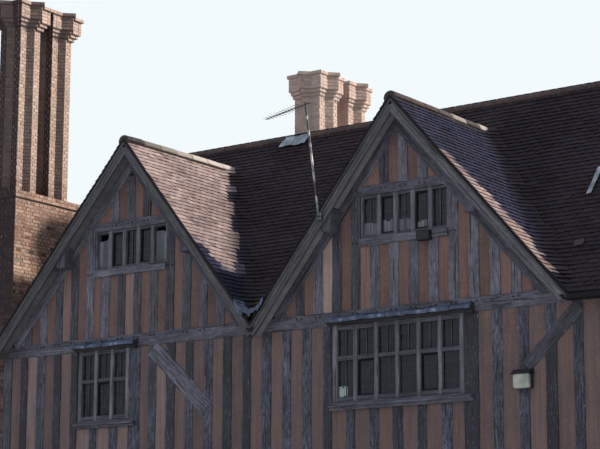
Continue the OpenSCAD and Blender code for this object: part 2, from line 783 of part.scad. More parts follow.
// A window frame with its mullions and, where tier is true, a transom
module window_frame(o, tier) {
    y0 = window_recess;
    y1 = window_recess + window_t;
    p = (o[1] - o[0] - o[5]) / o[4];
    block([o[0], y0, o[3] - o[7]], [o[1], y1, o[3]]);
    block([o[0], y0, o[2]], [o[1], y1, o[2] + o[7]]);
    for (i = [0 : o[4]]) {
        x = o[0] + o[5] / 2 + i * p;
        m = (i == 0 || i == o[4]) ? o[5] : o[6];
        block([x - m / 2, y0, o[2]], [x + m / 2, y1, o[3]]);
    }
    if (tier) block([o[0], y0, o[2] + transom_up - transom_h / 2], [o[1], y1, o[2] + transom_up + transom_h / 2]);
}
// The clear space of one light, counted from the left: 0 is the lower tier, 1 the upper
function light_box(o, i, tier, tiers) =
    let (p = (o[1] - o[0] - o[5]) / o[4], x = o[0] + o[5] / 2 + i * p,
         a = i == 0 ? o[5] / 2 : o[6] / 2, b = i == o[4] - 1 ? o[5] / 2 : o[6] / 2)
    [x + a, x + p - b,
     tier == 0 ? o[2] + o[7] : o[2] + transom_up + transom_h / 2,
     tier == 1 || tiers == 1 ? o[3] - o[7] : o[2] + transom_up - transom_h / 2];
module light_sheet(l, y, t) { block([l[0], y, l[2]], [l[1], y + t, l[3]]); }
module front_window_frames() color(oak) on_front()
    for (o = concat(front_upper, [for (g = front_ground) if (g[4] > 0) g])) window_frame(o, true);
module gable_window_frames() color(oak) on_front() for (g = gables) window_frame(gable_window(g), false);
module plain_window_frames() color(oak) {
    on_back() for (o = concat(back_ground, back_upper)) window_frame(o, true);
    on_right() for (o = concat(end_ground, end_upper)) window_frame(o, true);
}
glass_y = window_recess + window_t / 2;
module panes(o, tiers) {
    for (t = [0 : tiers - 1]) for (i = [0 : o[4] - 1]) light_sheet(light_box(o, i, t, tiers), glass_y, glass_t);
}
// Lights that are boarded over, counted from the left
left_boarded = [0, gable_lights - 1];
module window_glass() color("#5b6a75", 0.6) {
    on_front() {
        for (o = concat(front_upper, [for (g = front_ground) if (g[4] > 0) g])) panes(o, 2);
        panes(gable_window(right_gable), 1);
        for (i = [1 : gable_lights - 2]) light_sheet(light_box(gable_window(left_gable), i, 0, 1), glass_y, glass_t);
    }
    on_back() for (o = concat(back_ground, back_upper)) panes(o, 2);
    on_right() for (o = concat(end_ground, end_upper)) panes(o, 2);
}
// An iron casement lies in front of the glass and fills its light
module casement(l) {
    y = glass_y - casement_t;
    w = casement_w;
    difference() {
        light_sheet(l, y, casement_t);
        block([l[0] + w, y - e, l[2] + w], [l[1] - w, y + casement_t + e, l[3] - w]);
    }
}
module iron_casements() color("#2b2c30") on_front() {
    for (o = concat(front_upper, [front_ground[0], front_ground[1]])) for (i = [1, o[4] - 2])
        casement(light_box(o, i, 0, 2));
    for (g = gables) for (i = [1, gable_lights - 2]) casement(light_box(gable_window(g), i, 0, 1));
}
// The end lights of the left gable's window are boarded up to this share of their height
board_t = 25;
left_board_share = 0.9;
// Lights of the right gable's window have thin boards before the glass, inside the casements' bars
thin_board_t = 12;
right_board_shares = [0.36, 0.36, 0.36, 0.24];
function boarded(l, inset, share) = [l[0] + inset, l[1] - inset, l[2] + inset, l[2] + share * (l[3] - l[2])];
module boarded_lights() color("#8f9298") on_front() {
    for (i = left_boarded)
        light_sheet(boarded(light_box(gable_window(left_gable), i, 0, 1), 0, left_board_share), glass_y, board_t);
    for (i = [0 : len(right_board_shares) - 1]) {
        inset = i % 2 == 0 ? 0 : casement_w;
        light_sheet(boarded(light_box(gable_window(right_gable), i, 0, 1), inset, right_board_shares[i]),
                    glass_y - thin_board_t, thin_board_t);
    }
}
// A moulded sill: its nose is a quarter round over a hollow, and its top slopes outwards
sill_fall = 45;
mould_steps = 5;
function arc(c, r, a0, a1) = [for (i = [0 : mould_steps]) let (a = a0 + (a1 - a0) * i / mould_steps)
    c + r * [cos(a), sin(a)]];
module sill_bar(o, horn_l = sill_horn, horn_r = sill_horn) {
    y1 = window_recess + window_t;
    base = o[2] - sill_h;
    nose = sill_h - sill_fall;
    r = nose / 2;
    moulding = concat(arc([-sill_out, base], r, 0, 90), arc([-sill_out + r, base + nose - r], r, 180, 90));
    yz_prism(concat([[y1, base]], moulding, [[window_recess, o[2]], [y1, o[2]]]), o[0], o[1]);
    yz_prism(concat([[0, base]], moulding, [[0, base + nose + sill_fall / 2]]), o[0] - horn_l, o[1] + horn_r);
}
module window_sills() color(oak) {
    on_front() for (o = concat(front_upper, [front_ground[0], front_ground[1]]))
        sill_bar(o, front_sill_l, front_sill_r);
    on_back() for (o = concat(back_ground, back_upper)) sill_bar(o);
    on_right() for (o = concat(end_ground, end_upper)) sill_bar(o);
}
// A moulded hood: a hollow under a square fillet, and a lead-covered top that slopes outwards
hood_fillet = 40;
hood_root = 30;
module window_hoods() color(lead) on_front() for (o = concat(front_upper, [front_ground[0], front_ground[1]])) {
    r = hood_out - hood_root - 20;
    front_z = o[3] + r * 0.5;
    hollow = [for (p = arc([0, 0], 1, 0, 90)) [-hood_out + 20 + r * p[0], o[3] + (front_z - o[3]) * p[1]]];
    yz_prism(concat([[0, o[3]]], hollow, [[-hood_out, front_z], [-hood_out, front_z + hood_fillet],
                                          [0, o[3] + hood_h]]), o[0] - hood_l, o[1] + hood_r);
}

// The plank door in its frame, shut
door_frame_recess = 30;
door_recess = 70;
module plank_door() color("#5d4a3a") on_front() {
    difference() {
        block([doorway[0], door_frame_recess, doorway[2]], [doorway[1], frame_t, doorway[3] + head_h]);
        block([doorway[0] + jamb_w, 0, doorway[2] - e], [doorway[1] - jamb_w, frame_t + e, doorway[3]]);
    }
    block([doorway[0] + jamb_w, door_recess, doorway[2]], [doorway[1] - jamb_w, door_recess + door_t, doorway[3]]);
}

// Chimneys: two squares crossed at 45 degrees make the eight-pointed shaft
module star(a) {
    square(2 * a, center = true);
    rotate(45) square(2 * a, center = true);
}
module left_stack_box() {
    w = base_w(left_star_a) / 2;
    block([left_stack[0] - w - stack_foot_out, left_stack[1] - w, -e],
          [left_stack[0] + w, left_stack[1] + w + left_star_gap, left_base_z]);
}
module centre_stack_box() {
    w = base_w(centre_star_a) / 2;
    block([centre_stack[0] - w, centre_stack[1] - w, -e],
          [centre_stack[0] + w, centre_stack[1] + w + centre_star_gap, centre_base_z]);
}
module stack_base(c, a, gap, top) {
    w = base_w(a) / 2;
    block([c[0] - w, c[1] - w, 0], [c[0] + w, c[1] + w + gap, top]);
}
// The left base stands on a wider foot, and its two topmost courses stand proud
module left_stack_base() color(brick) {
    w = base_w(left_star_a) / 2;
    x = left_stack[0];
    y = left_stack[1];
    stack_base(left_stack, left_star_a, left_star_gap, left_base_z);
    block([x - w - band_out, y - w - band_out, left_base_z - 2 * course],
          [x + w + band_out, y + w + left_star_gap + band_out, left_base_z]);
    block([x - w - stack_foot_out, y - w, 0], [x, y + w + left_star_gap, stack_foot_h]);
}
module centre_stack_base() color(brick)
    stack_base(centre_stack, centre_star_a, centre_star_gap, centre_base_z);
// Two star shafts under corbelled caps
module cap(a, out) {
    for (s = [1 : corbels]) translate([0, 0, (s - 1) * course])
        linear_extrude(course) star(a + s * out / corbels);
    translate([0, 0, corbels * course]) linear_extrude(plain_courses * course) star(a + out);
    translate([0, 0, cap_h - course]) linear_extrude(course) star(a + (1 + lip_share) * out);
}
module shaft(a, z0, z_cap, out) {
    translate([0, 0, z0]) linear_extrude(z_cap - z0) star(a);
    translate([0, 0, z_cap]) cap(a, out);
}
module stack_shafts(c, a, gap, z0, z_cap, out) {
    for (k = [0, 1]) translate([c[0], c[1] + k * gap, 0]) difference() {
        shaft(a, z0, z_cap, out);
        translate([0, 0, z_cap + cap_h - flue_deep]) cylinder(d = flue_d, h = flue_deep + e);
    }
}
module left_stack_shafts() color(brick)
    stack_shafts(left_stack, left_star_a, left_star_gap, left_base_z, left_cap_z, left_cap_out);
module centre_stack_shafts() color(brick)
    stack_shafts(centre_stack, centre_star_a, centre_star_gap, centre_base_z, centre_cap_z, centre_cap_out);
// A raised metal plate over each flue, tipped forward on four legs
cover_t = 15;
cover_leg_d = 20;
cover_tip = 7;
module flue_cover() {
    leg = cover_w / 2 - cover_leg_d;
    translate([0, 0, cover_up]) rotate([cover_tip, 0, 0])
        translate([-cover_w / 2, -cover_w / 2, 0]) cube([cover_w, cover_w, cover_t]);
    for (x = [-leg, leg]) for (y = [-leg, leg])
        translate([x, y, 0]) cylinder(d = cover_leg_d, h = cover_up + cover_t / 2 + y * tan(cover_tip));
}
module flue_covers() color("#3d3f44") for (k = [0, 1]) {
    translate([left_stack[0], left_stack[1] + k * left_star_gap, left_cap_z + cap_h]) flue_cover();
    translate([centre_stack[0], centre_stack[1] + k * centre_star_gap, centre_cap_z + cap_h]) flue_cover();
}

// A bulkhead light on the stud right of the upper window: a back box under a hood, over a sloping glass
lamp_x = right_window_x + light_in;
lamp_z = front_upper[1][2] - 20;
lamp_back = 50;
lamp_hood_h = 80;
lamp_rim = 25;
// The small lamp on the gable window's rail: its middle left of the window's right edge, its foot under the rail
sill_lamp_in = 400;
sill_lamp_drop = 40;
sill_lamp_out = 120;
module outside_lights() color("#232323") {
    translate([lamp_x, y_front, lamp_z]) {
        block([-light_w / 2, -lamp_back, 0], [light_w / 2, 0, light_h]);
        yz_prism([[-light_out - 15, light_h - lamp_hood_h], [-light_out - 15, light_h - lamp_hood_h + 20],
                  [-lamp_back, light_h], [0, light_h], [0, light_h - lamp_hood_h]],
                 -light_w / 2 - 15, light_w / 2 + 15);
    }
    o = gable_window(right_gable);
    translate([o[1] - sill_lamp_in, y_front, o[2] - gable_sill_h - sill_lamp_drop])
        block([-lamp_w / 2, -sill_lamp_out, 0], [lamp_w / 2, 0, lamp_h]);
}
module light_glass() color("#cfd2cc", 0.8) translate([lamp_x, y_front - lamp_back, lamp_z])
    yz_prism([[0, 0], [0, light_h - lamp_hood_h], [-light_out + lamp_back, light_h - lamp_hood_h],
              [-light_out + lamp_back, 50], [-light_out + lamp_back + lamp_rim, 0]],
             -light_w / 2 + lamp_rim, light_w / 2 - lamp_rim);
// The mast is clamped to the right gable's left bargeboard and leans to the left
clamp_w = 90;
clamp_h = 120;
clamp_out = 45;
// Distance of the mast's foot under the edge of the verge tiles
mast_foot_drop = 90;
mast_foot = [right_gable[0] - mast_in, y_verge - clamp_out,
             right_gable[1] - tan_l(right_gable) * mast_in - tile_v - mast_foot_drop];
module aerial_mast() color("#b9bcc0") {
    translate(mast_foot) rotate([0, -mast_lean, 0]) cylinder(d = mast_d, h = mast_l);
    translate(mast_foot) block([-clamp_w / 2, 0, -clamp_h / 2], [clamp_w / 2, clamp_out, clamp_h / 2]);
}
// A boom with rods across it, each shorter than the one behind it
boom_turn = 160;
boom_d = 20;
boom_back = 120;
rods = 14;
rod_d = 8;
rod_taper = 0.5;
module boom() {
    rotate([0, 90, 0]) cylinder(d = boom_d, h = boom_l);
    for (i = [0 : rods]) {
        x = boom_d + i * (boom_l - 2 * boom_d) / rods;
        l = rod_l * (1 - rod_taper * i / rods);
        if (abs(x - boom_back) > mast_d) translate([x, l / 2, 0]) rotate([90, 0, 0]) cylinder(d = rod_d, h = l);
    }
}
module aerial() color("#55585e")
    translate(mast_foot) rotate([0, -mast_lean, 0]) translate([0, 0, mast_l - 2 * boom_d])
    rotate([0, mast_lean, 0]) rotate([0, 0, boom_turn]) translate([-boom_back, 0, 0]) boom();

long_plinths();
end_plinths();
ground_floor();
first_floor();
attic_floor();
front_beams();
back_beams();
end_beams();
corner_posts();
front_wall_studs();
back_wall_studs();
end_wall_studs();
braces();
front_wall_infill();
back_wall_infill();
end_wall_infill();
front_gable_frames();
front_gable_infill();
end_gable_frames();
end_gable_infill();
main_roof_front();
main_roof_back();
left_gable_roof();
right_gable_roof();
ridge_tiles();
bargeboards();
lead_work();
front_window_frames();
gable_window_frames();
plain_window_frames();
window_glass();
iron_casements();
boarded_lights();
window_sills();
window_hoods();
plank_door();
left_stack_base();
left_stack_shafts();
centre_stack_base();
centre_stack_shafts();
flue_covers();
outside_lights();
light_glass();
aerial_mast();
aerial();
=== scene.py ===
import math

import bpy
import numpy as np
from mathutils import Matrix


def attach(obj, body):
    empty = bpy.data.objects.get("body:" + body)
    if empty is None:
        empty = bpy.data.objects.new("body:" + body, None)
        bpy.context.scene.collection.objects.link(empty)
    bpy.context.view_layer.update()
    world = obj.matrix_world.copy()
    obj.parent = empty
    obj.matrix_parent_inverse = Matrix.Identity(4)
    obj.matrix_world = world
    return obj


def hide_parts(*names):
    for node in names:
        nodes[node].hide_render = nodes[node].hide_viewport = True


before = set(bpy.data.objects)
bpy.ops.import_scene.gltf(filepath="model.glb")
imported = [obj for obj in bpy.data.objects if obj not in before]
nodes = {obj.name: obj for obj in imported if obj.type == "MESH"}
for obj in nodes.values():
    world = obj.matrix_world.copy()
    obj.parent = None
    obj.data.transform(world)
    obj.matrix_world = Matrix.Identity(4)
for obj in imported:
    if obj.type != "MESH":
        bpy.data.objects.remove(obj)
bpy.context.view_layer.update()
scene = bpy.context.scene
scene.view_settings.view_transform = "Standard"
rng = np.random.default_rng(1598)


def linear(code):
    """An sRGB hex colour as linear red, green, blue and alpha."""
    parts = np.array([int(code[i:i + 2], 16) for i in (1, 3, 5)]) / 255
    straight = np.where(parts <= 0.04045, parts / 12.92, ((parts + 0.055) / 1.055) ** 2.4)
    return (*straight, 1.0)


def add(tree, kind, stops=None, **settings):
    """Adds a node. A setting is one of the node's own properties, or one of its sockets by name or by i and
    its number, which takes a number, a hex colour, a node or one of its sockets. Stops are a ramp's
    colours."""
    node = tree.nodes.new("ShaderNode" + kind)
    for key, value in settings.items():
        if hasattr(node, key):
            setattr(node, key, value)
            continue
        socket = node.inputs[int(key[1:])] if key[1:].isdigit() else node.inputs[key.replace("_", " ")]
        value = value.outputs[0] if isinstance(value, bpy.types.Node) else value
        if isinstance(value, bpy.types.NodeSocket):
            tree.links.new(value, socket)
        else:
            socket.default_value = linear(value) if isinstance(value, str) else value
    if stops:
        ramp = node.color_ramp.elements
        while len(ramp) < len(stops):
            ramp.new(0.5)
        for mark, (place, colour) in zip(ramp, stops):
            mark.position = place
            mark.color = linear(colour) if isinstance(colour, str) else (colour, colour, colour, 1)
    return node


# Camera: an eye 1.6 m above the ground, right of the house, looking up and to the left
eye = np.array([17.127, -28.448, 1.6])
yaw, pitch, roll = np.radians((36.15, 11.45, 0.15))
look = np.array([-math.sin(yaw) * math.cos(pitch), math.cos(yaw) * math.cos(pitch), math.sin(pitch)])
level = np.array([math.cos(yaw), math.sin(yaw), 0.0])
over = np.cross(level, look)
right = level * math.cos(roll) + over * math.sin(roll)
up = over * math.cos(roll) - level * math.sin(roll)
lens = bpy.data.cameras.new("camera")
lens.lens, lens.sensor_width, lens.clip_end = 117.0, 36.0, 400.0
camera = bpy.data.objects.new("camera", lens)
camera.matrix_world = Matrix.Translation(eye) @ Matrix(np.stack([right, up, -look], 1)).to_4x4()
scene.collection.objects.link(camera)
scene.camera = camera


def lamp(name, towards, strength, soft, colour):
    """A sun lamp that stands in the direction given, with its softness in degrees."""
    data = bpy.data.lights.new(name, "SUN")
    data.energy, data.angle, data.color = strength, math.radians(soft), linear(colour)[:3]
    item = bpy.data.objects.new(name, data)
    away = np.array(towards) / np.linalg.norm(towards)
    side = np.cross([0, 0, 1], away)
    side /= np.linalg.norm(side)
    item.matrix_world = Matrix(np.stack([side, np.cross(away, side), away], 1)).to_4x4()
    scene.collection.objects.link(item)


# A low key lamp from the right and behind, as the sun stands in the photograph, and a soft fill from the
# front
lamp("key", (0.719, 0.467, 0.514), 3.7, 3, "#fff3e4")
lamp("front_fill", (-0.35, -0.8, 0.5), 0.42, 60, "#e6eeff")

# A dim even glow lights the house, and the eye and mirror rays see a pale sky
world = bpy.data.worlds.new("studio")
scene.world = world
world.use_nodes = True
tree = world.node_tree
tree.nodes.clear()
path = add(tree, "LightPath").outputs
seen = add(tree, "Math", operation="ADD", i0=path["Is Camera Ray"], i1=path["Is Glossy Ray"])
seen = add(tree, "Math", operation="ADD", use_clamp=True, i0=seen, i1=path["Is Transmission Ray"])
glow = add(tree, "Background", Color="#e4ebf8", Strength=0.33)
sky = add(tree, "Background", Color="#f2fafd", Strength=1.0)
add(tree, "OutputWorld", Surface=add(tree, "MixShader", i0=seen, i1=glow, i2=sky))


def piece(name, points, faces, material, slot, hides=(), uv=None, smooth=False, **values):
    """A mesh from an array of points and arrays of faces, one array for each number of corners, riding on
    the house. uv is metres across and along at each point, and values are attributes with a number a
    point."""
    mesh = bpy.data.meshes.new(name)
    faces = [np.asarray(f) for f in faces if len(f)]
    corners = np.concatenate([f.ravel() for f in faces]).astype(np.int32)
    counts = np.concatenate([np.full(len(f), f.shape[1]) for f in faces])
    mesh.vertices.add(len(points))
    mesh.vertices.foreach_set("co", np.asarray(points, np.float32).ravel())
    mesh.loops.add(len(corners))
    mesh.loops.foreach_set("vertex_index", corners)
    mesh.polygons.add(len(counts))
    mesh.polygons.foreach_set("loop_start", np.concatenate([[0], np.cumsum(counts)[:-1]]).astype(np.int32))
    mesh.update(calc_edges=True)
    mesh.polygons.foreach_set("use_smooth", np.full(len(counts), smooth))
    if uv is not None:
        mesh.uv_layers.new(name="metres").data.foreach_set("uv", uv[corners].astype(np.float32).ravel())
    for key, value in values.items():
        numbers = np.asarray(value, np.float32).ravel()
        mesh.attributes.new(key, "FLOAT", "POINT").data.foreach_set("value", numbers)
    mesh.materials.append(material)
    item = bpy.data.objects.new(name, mesh)
    scene.collection.objects.link(item)
    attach(item, "root")
    if hides:
        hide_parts(*hides)


def join(parts):
    """Joins parts, each a dict of points, faces and values, into one set of arrays."""
    shift = np.cumsum([0] + [len(p["points"]) for p in parts])
    sides = sorted({f.shape[1] for p in parts for f in p["faces"]})
    faces = [f + s for p, s in zip(parts, shift) for f in p["faces"]]
    out = {"points": np.concatenate([p["points"] for p in parts]),
           "faces": [np.concatenate([f for f in faces if f.shape[1] == n]) for n in sides]}
    for key in parts[0]:
        if key not in out:
            out[key] = np.concatenate([p[key] for p in parts])
    return out


# Half the house's length and depth between its wall faces, and each wall: a point on its outer face, the
# direction along it, and outwards
HALF_LONG, HALF_DEEP = 7.95, 3.2
UP = np.array([0.0, 0.0, 1.0])
WALLS = {"front": ([0, -HALF_DEEP, 0], [1, 0, 0], [0, -1, 0]),
         "back": ([0, HALF_DEEP, 0], [-1, 0, 0], [0, 1, 0]),
         "right": ([HALF_LONG, 0, 0], [0, 1, 0], [1, 0, 0]),
         "left": ([-HALF_LONG, 0, 0], [0, -1, 0], [-1, 0, 0])}
WALLS = {side: [np.array(v, float) for v in axes] for side, axes in WALLS.items()}


def on_wall(side, x, z, out):
    """Places a point given along a wall, above the ground and out from the wall's face."""
    start, along, away = WALLS[side]
    x, z, out = (np.asarray(v, float)[..., None] for v in (x, z, out))
    return start + along * x + UP * z + away * out


def solids(node):
    """The box of each separate solid of a CAD node: its triangles are joined where corners share a place,
    and the lowest label spreads over each connected part until nothing changes."""
    mesh = nodes[node].data
    co = np.zeros(len(mesh.vertices) * 3, np.float32)
    mesh.vertices.foreach_get("co", co)
    co = co.reshape(-1, 3)
    mesh.calc_loop_triangles()
    tri = np.zeros(len(mesh.loop_triangles) * 3, np.int32)
    mesh.loop_triangles.foreach_get("vertices", tri)
    _, same = np.unique(np.round(co, 4), axis=0, return_inverse=True)
    tri = same.reshape(-1)[tri].reshape(-1, 3)
    label = np.arange(same.max() + 1)
    while True:
        low = label[tri].min(1)
        new = label.copy()
        for c in range(3):
            np.minimum.at(new, tri[:, c], low)
        if (new == label).all():
            break
        label = new
    owner = label[same.reshape(-1)]
    return [(co[owner == k].min(0), co[owner == k].max(0)) for k in np.unique(owner)]


# Roof, in metres: level of the eaves and the ridge, the main slope as rise over run, the gables' verge, the
# roof's ends and the valley between the gables. Each gable: its ridge's x and z, its slopes, and the pitch of
# its studs, their middle and how much higher its rails lie than the other gable's
EAVE, RIDGE, MAIN, VERGE, ROOF_END, VALLEY = 6.25, 10.39, 1.18286, 3.5, 8.12, -2.1147
GABLES = [dict(x=-4.93, z=9.86, left=1.1352, right=1.2491, pitch=0.367, mid=-4.985, lift=0.06),
          dict(x=0.65, z=9.77, left=1.2394, right=1.1318, pitch=0.366, mid=0.695, lift=0.0)]


def start(name):
    """A new material with an empty tree, the object's own place and the number given to each part."""
    material = bpy.data.materials.new(name)
    material.use_nodes = True
    tree = material.node_tree
    tree.nodes.clear()
    return (material, tree, add(tree, "TexCoord").outputs["Object"],
            add(tree, "Attribute", attribute_name="tone").outputs["Fac"])


def layer(tree, under, colour, vector, scale, detail, roughness, stops, shift=(0, 0, 0)):
    """A colour laid over another where a noise is high: the stops give its share at each level of the noise,
    whose patches are about 1 / scale metres across. Three scales stretch them. Gives the mixed colour and the
    share."""
    if isinstance(scale, tuple):
        vector, scale = add(tree, "Mapping", Vector=vector, Scale=scale, Location=shift), 1
    noise = add(tree, "TexNoise", Vector=vector, Scale=scale, Detail=detail, Roughness=roughness)
    share = add(tree, "ValToRGB", Fac=noise, stops=stops)
    return add(tree, "Mix", data_type="RGBA", i0=share, i6=under, i7=colour).outputs[2], share


def finish(tree, colour, relief, height, **looks):
    """Ends a material: its colour, a relief raised by a height in metres, and the surface's own settings."""
    bump = add(tree, "Bump", Height=relief, Distance=height)
    add(tree, "OutputMaterial", Surface=add(tree, "BsdfPrincipled", Base_Color=colour, Normal=bump, **looks))


def coat(name, scale, detail, roughness, stops, height, dents=None, **looks):
    """A material that is one noise through a ramp of colours. Its relief is that noise, or one with the scale
    and detail given as dents."""
    material, tree, place, tone = start(name)
    noise = add(tree, "TexNoise", Vector=place, Scale=scale, Detail=detail, Roughness=roughness)
    colour = add(tree, "ValToRGB", Fac=noise, stops=stops)
    if dents:
        noise = add(tree, "TexNoise", Vector=place, Scale=dents[0], Detail=dents[1])
    finish(tree, colour, noise, height, **looks)
    return material


# Handmade clay plain tiles: sanded, weathered purple-brown, each tile its own shade, with patches of grime a
# metre wide and lichen dots of 10 to 40 mm. They take painted sunlight, tan, where the sun reaches, and
# painted shade, slate blue, elsewhere on the slopes that face right. They are mossy at the valley's foot
clay_tile, tree, place, tone = start("handmade_clay_tile")
pale = add(tree, "Attribute", attribute_name="pale").outputs["Fac"]
dark = add(tree, "ValToRGB", Fac=tone, stops=[(0.0, "#1e1a20"), (0.35, "#261f25"), (0.6, "#302529"),
                                              (0.8, "#2a2831"), (1.0, "#3f3033")])
# This tan ramp is painted sunlight, mixed in by the tiles' pale share
light = add(tree, "ValToRGB", Fac=tone, stops=[(0.0, "#9a8680"), (0.4, "#b8a29c"), (0.7, "#cbb8b1"),
                                               (1.0, "#a8938d")])
colour = add(tree, "Mix", data_type="RGBA", i0=pale, i6=dark, i7=light).outputs[2]
colour = layer(tree, colour, "#46404a", place, 0.9, 5, 0.6, [(0.42, 0.0), (0.62, 0.4)])[0]
# Painted shade: on slopes that face right, tiles without painted sunlight are tinted slate blue
normal = add(tree, "NewGeometry").outputs["Normal"]
turned = add(tree, "SeparateXYZ", Vector=normal).outputs["X"]
turned = add(tree, "MapRange", Value=turned, From_Min=0.3, From_Max=0.6)
kept = add(tree, "Math", operation="SUBTRACT", i0=1.0, i1=pale)
turned = add(tree, "Math", operation="MULTIPLY", i0=turned, i1=kept)
blue = add(tree, "VectorMath", operation="MULTIPLY", i0=colour, i1=(0.62, 0.88, 1.6))
colour = add(tree, "Mix", data_type="RGBA", i0=turned, i6=colour, i7=blue).outputs[2]
colour = layer(tree, colour, "#7b766f", place, 38, 3, 0.7, [(0.62, 0.0), (0.7, 0.25)])[0]
moss = add(tree, "Attribute", attribute_name="moss").outputs["Fac"]
colour = add(tree, "Mix", data_type="RGBA", i0=moss, i6=colour, i7="#45462c").outputs[2]
sand = add(tree, "TexNoise", Vector=place, Scale=90, Detail=5, Roughness=0.7)
finish(tree, colour, sand, 0.003, Roughness=0.9, Specular_IOR_Level=0.2)

# Half-round ridge tiles: redder clay, some of them pale with lime, under grey lichen in patches of 70 mm
ridge_clay, tree, place, tone = start("ridge_clay")
pale = add(tree, "Attribute", attribute_name="pale").outputs["Fac"]
dark = add(tree, "ValToRGB", Fac=tone, stops=[(0.0, "#2c2427"), (0.5, "#3d2f31"), (1.0, "#523a38")])
colour = add(tree, "Mix", data_type="RGBA", i0=pale, i6=dark, i7="#d5cdc4").outputs[2]
colour = layer(tree, colour, "#6b6568", place, 14, 5, 0.7, [(0.5, 0.0), (0.62, 0.35)])[0]
lumps = add(tree, "TexNoise", Vector=place, Scale=14, Detail=5, Roughness=0.7)
finish(tree, colour, lumps, 0.006, Roughness=0.85)


def paled_high_with_painted_shade(tree, place, colour):
    """A brickwork's colour, paler above the roof, the slighter stack the more, and with painted shade: dark
    on the sides turned from the sun, the more the higher, and most on the tall stack."""
    at = add(tree, "SeparateXYZ", Vector=place).outputs
    paler_above_roof = add(tree, "MapRange", Value=at["X"], From_Min=-6.0, From_Max=-5.0, To_Min=0.38, To_Max=0.62)
    height = add(tree, "MapRange", Value=at["Z"], From_Min=9.3, From_Max=9.8)
    paler_above_roof = add(tree, "Math", operation="MULTIPLY", i0=paler_above_roof, i1=height)
    colour = add(tree, "Mix", data_type="RGBA", i0=paler_above_roof, i6=colour, i7="#f2e0d8").outputs[2]
    # Painted shade: sides turned from the sun darken towards #2b2229
    normal = add(tree, "NewGeometry").outputs["Normal"]
    facing = add(tree, "VectorMath", operation="DOT_PRODUCT", i0=normal, i1=(0.72, 0.47, 0.0))
    facing = facing.outputs["Value"]
    facing = add(tree, "Math", operation="MULTIPLY_ADD", i0=facing, i1=0.5, i2=0.5)
    share = add(tree, "ValToRGB", Fac=facing, stops=[(0.40, 0.95), (0.60, 0.72), (0.74, 0.0)])
    height = add(tree, "MapRange", Value=at["Z"], From_Min=0.5, From_Max=7.5)
    share = add(tree, "Math", operation="MULTIPLY", i0=share, i1=height)
    stack = add(tree, "MapRange", Value=at["X"], From_Min=-6.0, From_Max=-5.0, To_Min=1.0, To_Max=0.36)
    share = add(tree, "Math", operation="MULTIPLY", i0=share, i1=stack)
    return add(tree, "Mix", data_type="RGBA", i0=share, i6=colour, i7="#2b2229").outputs[2]


# Lime mortar: grey and sandy in patches of 110 mm; its grit is 5 mm, coarser than real sand, so that it shows
lime_mortar, tree, place, tone = start("lime_mortar")
noise = add(tree, "TexNoise", Vector=place, Scale=9, Detail=5, Roughness=0.7)
colour = add(tree, "ValToRGB", Fac=noise, stops=[(0.3, "#786a61"), (0.5, "#94857a"), (0.7, "#afa194")])
sand = add(tree, "TexNoise", Vector=place, Scale=220, Detail=3, Roughness=0.7)
finish(tree, paled_high_with_painted_shade(tree, place, colour), sand, 0.002, Roughness=0.95)

# Old handmade red brick: each brick its own shade of red, tan or plum, burnt in spots of 40 mm, sooty in
# patches of 0.8 m, and pitted by grains of 8 mm
red_brick, tree, place, tone = start("handmade_red_brick")
colour = add(tree, "ValToRGB", Fac=tone, stops=[(0.0, "#6a4d45"), (0.2, "#a6806f"), (0.45, "#c9a391"),
                                                (0.68, "#d9bbab"), (0.86, "#ba9687"), (1.0, "#ead4c7")])
colour = layer(tree, colour, "#6b4a41", place, 24, 5, 0.7, [(0.48, 0.0), (0.66, 0.5)])[0]
colour = layer(tree, colour, "#5c4845", place, 1.3, 4, 0.6, [(0.48, 0.0), (0.64, 0.45)])[0]
pits = add(tree, "TexNoise", Vector=place, Scale=130, Detail=5, Roughness=0.75)
finish(tree, paled_high_with_painted_shade(tree, place, colour), pits, 0.003, Roughness=0.9, Specular_IOR_Level=0.3)


def timber_finish(name, stops, shakes, stain=0.0, flakes=0.0):
    """Hewn or sawn wood left bare to the weather: streaks up to 20 mm wide and half a metre long, dark shakes
    along the grain, wet stains 40 mm wide, pale flakes of lifted grain, and each timber its own shade. The
    grain follows the piece's own metres."""
    material, tree, place, tone = start(name)
    metres = add(tree, "UVMap")
    at = add(tree, "Mapping", Vector=metres, Scale=(60, 2.2, 1))
    streak = add(tree, "TexNoise", Vector=at, Scale=1, Detail=6, Roughness=0.65)
    at = add(tree, "Mapping", Vector=metres, Scale=(4.5, 1.3, 1))
    patch = add(tree, "TexNoise", Vector=at, Scale=1, Detail=4, Roughness=0.6)
    shade = add(tree, "Math", operation="MULTIPLY_ADD", i0=streak, i1=1.05, i2=-0.67)
    shade = add(tree, "Math", operation="MULTIPLY_ADD", i0=patch, i1=0.85, i2=shade)
    shade = add(tree, "Math", operation="MULTIPLY_ADD", i0=tone, i1=0.42, i2=shade)
    colour = add(tree, "ValToRGB", Fac=shade, stops=stops)
    colour = layer(tree, colour, "#1d1b20", metres, (24, 7, 1), 6, 0.75, [(0.48, 0.0), (0.57, stain)],
                   shift=(3, 7, 0))[0]
    colour, lifted = layer(tree, colour, "#aaa7a3", metres, (48, 9, 1), 4, 0.65,
                           [(0.60, 0.0), (0.66, flakes)], shift=(11, 2, 0))
    colour, cracked = layer(tree, colour, "#121115", metres, (30, 0.9, 1), 3, 0.5,
                            [(0.61, 0.0), (0.65, shakes)])
    height = add(tree, "Math", operation="MULTIPLY_ADD", i0=cracked, i1=-1.5, i2=streak)
    height = add(tree, "Math", operation="MULTIPLY_ADD", i0=lifted, i1=0.5, i2=height)
    finish(tree, colour, height, 0.005, Roughness=0.8)
    return material


# Gable timbers, rails, posts, braces and sills: oak bleached to a violet silver, streaked and flaking
weathered_oak = timber_finish("weathered_oak", [(0.0, "#212129"), (0.3, "#3c3d48"), (0.55, "#5a5b69"),
                                                (0.8, "#7b7c8b"), (1.0, "#a5a6b0")], 0.9, 0.45, 0.35)
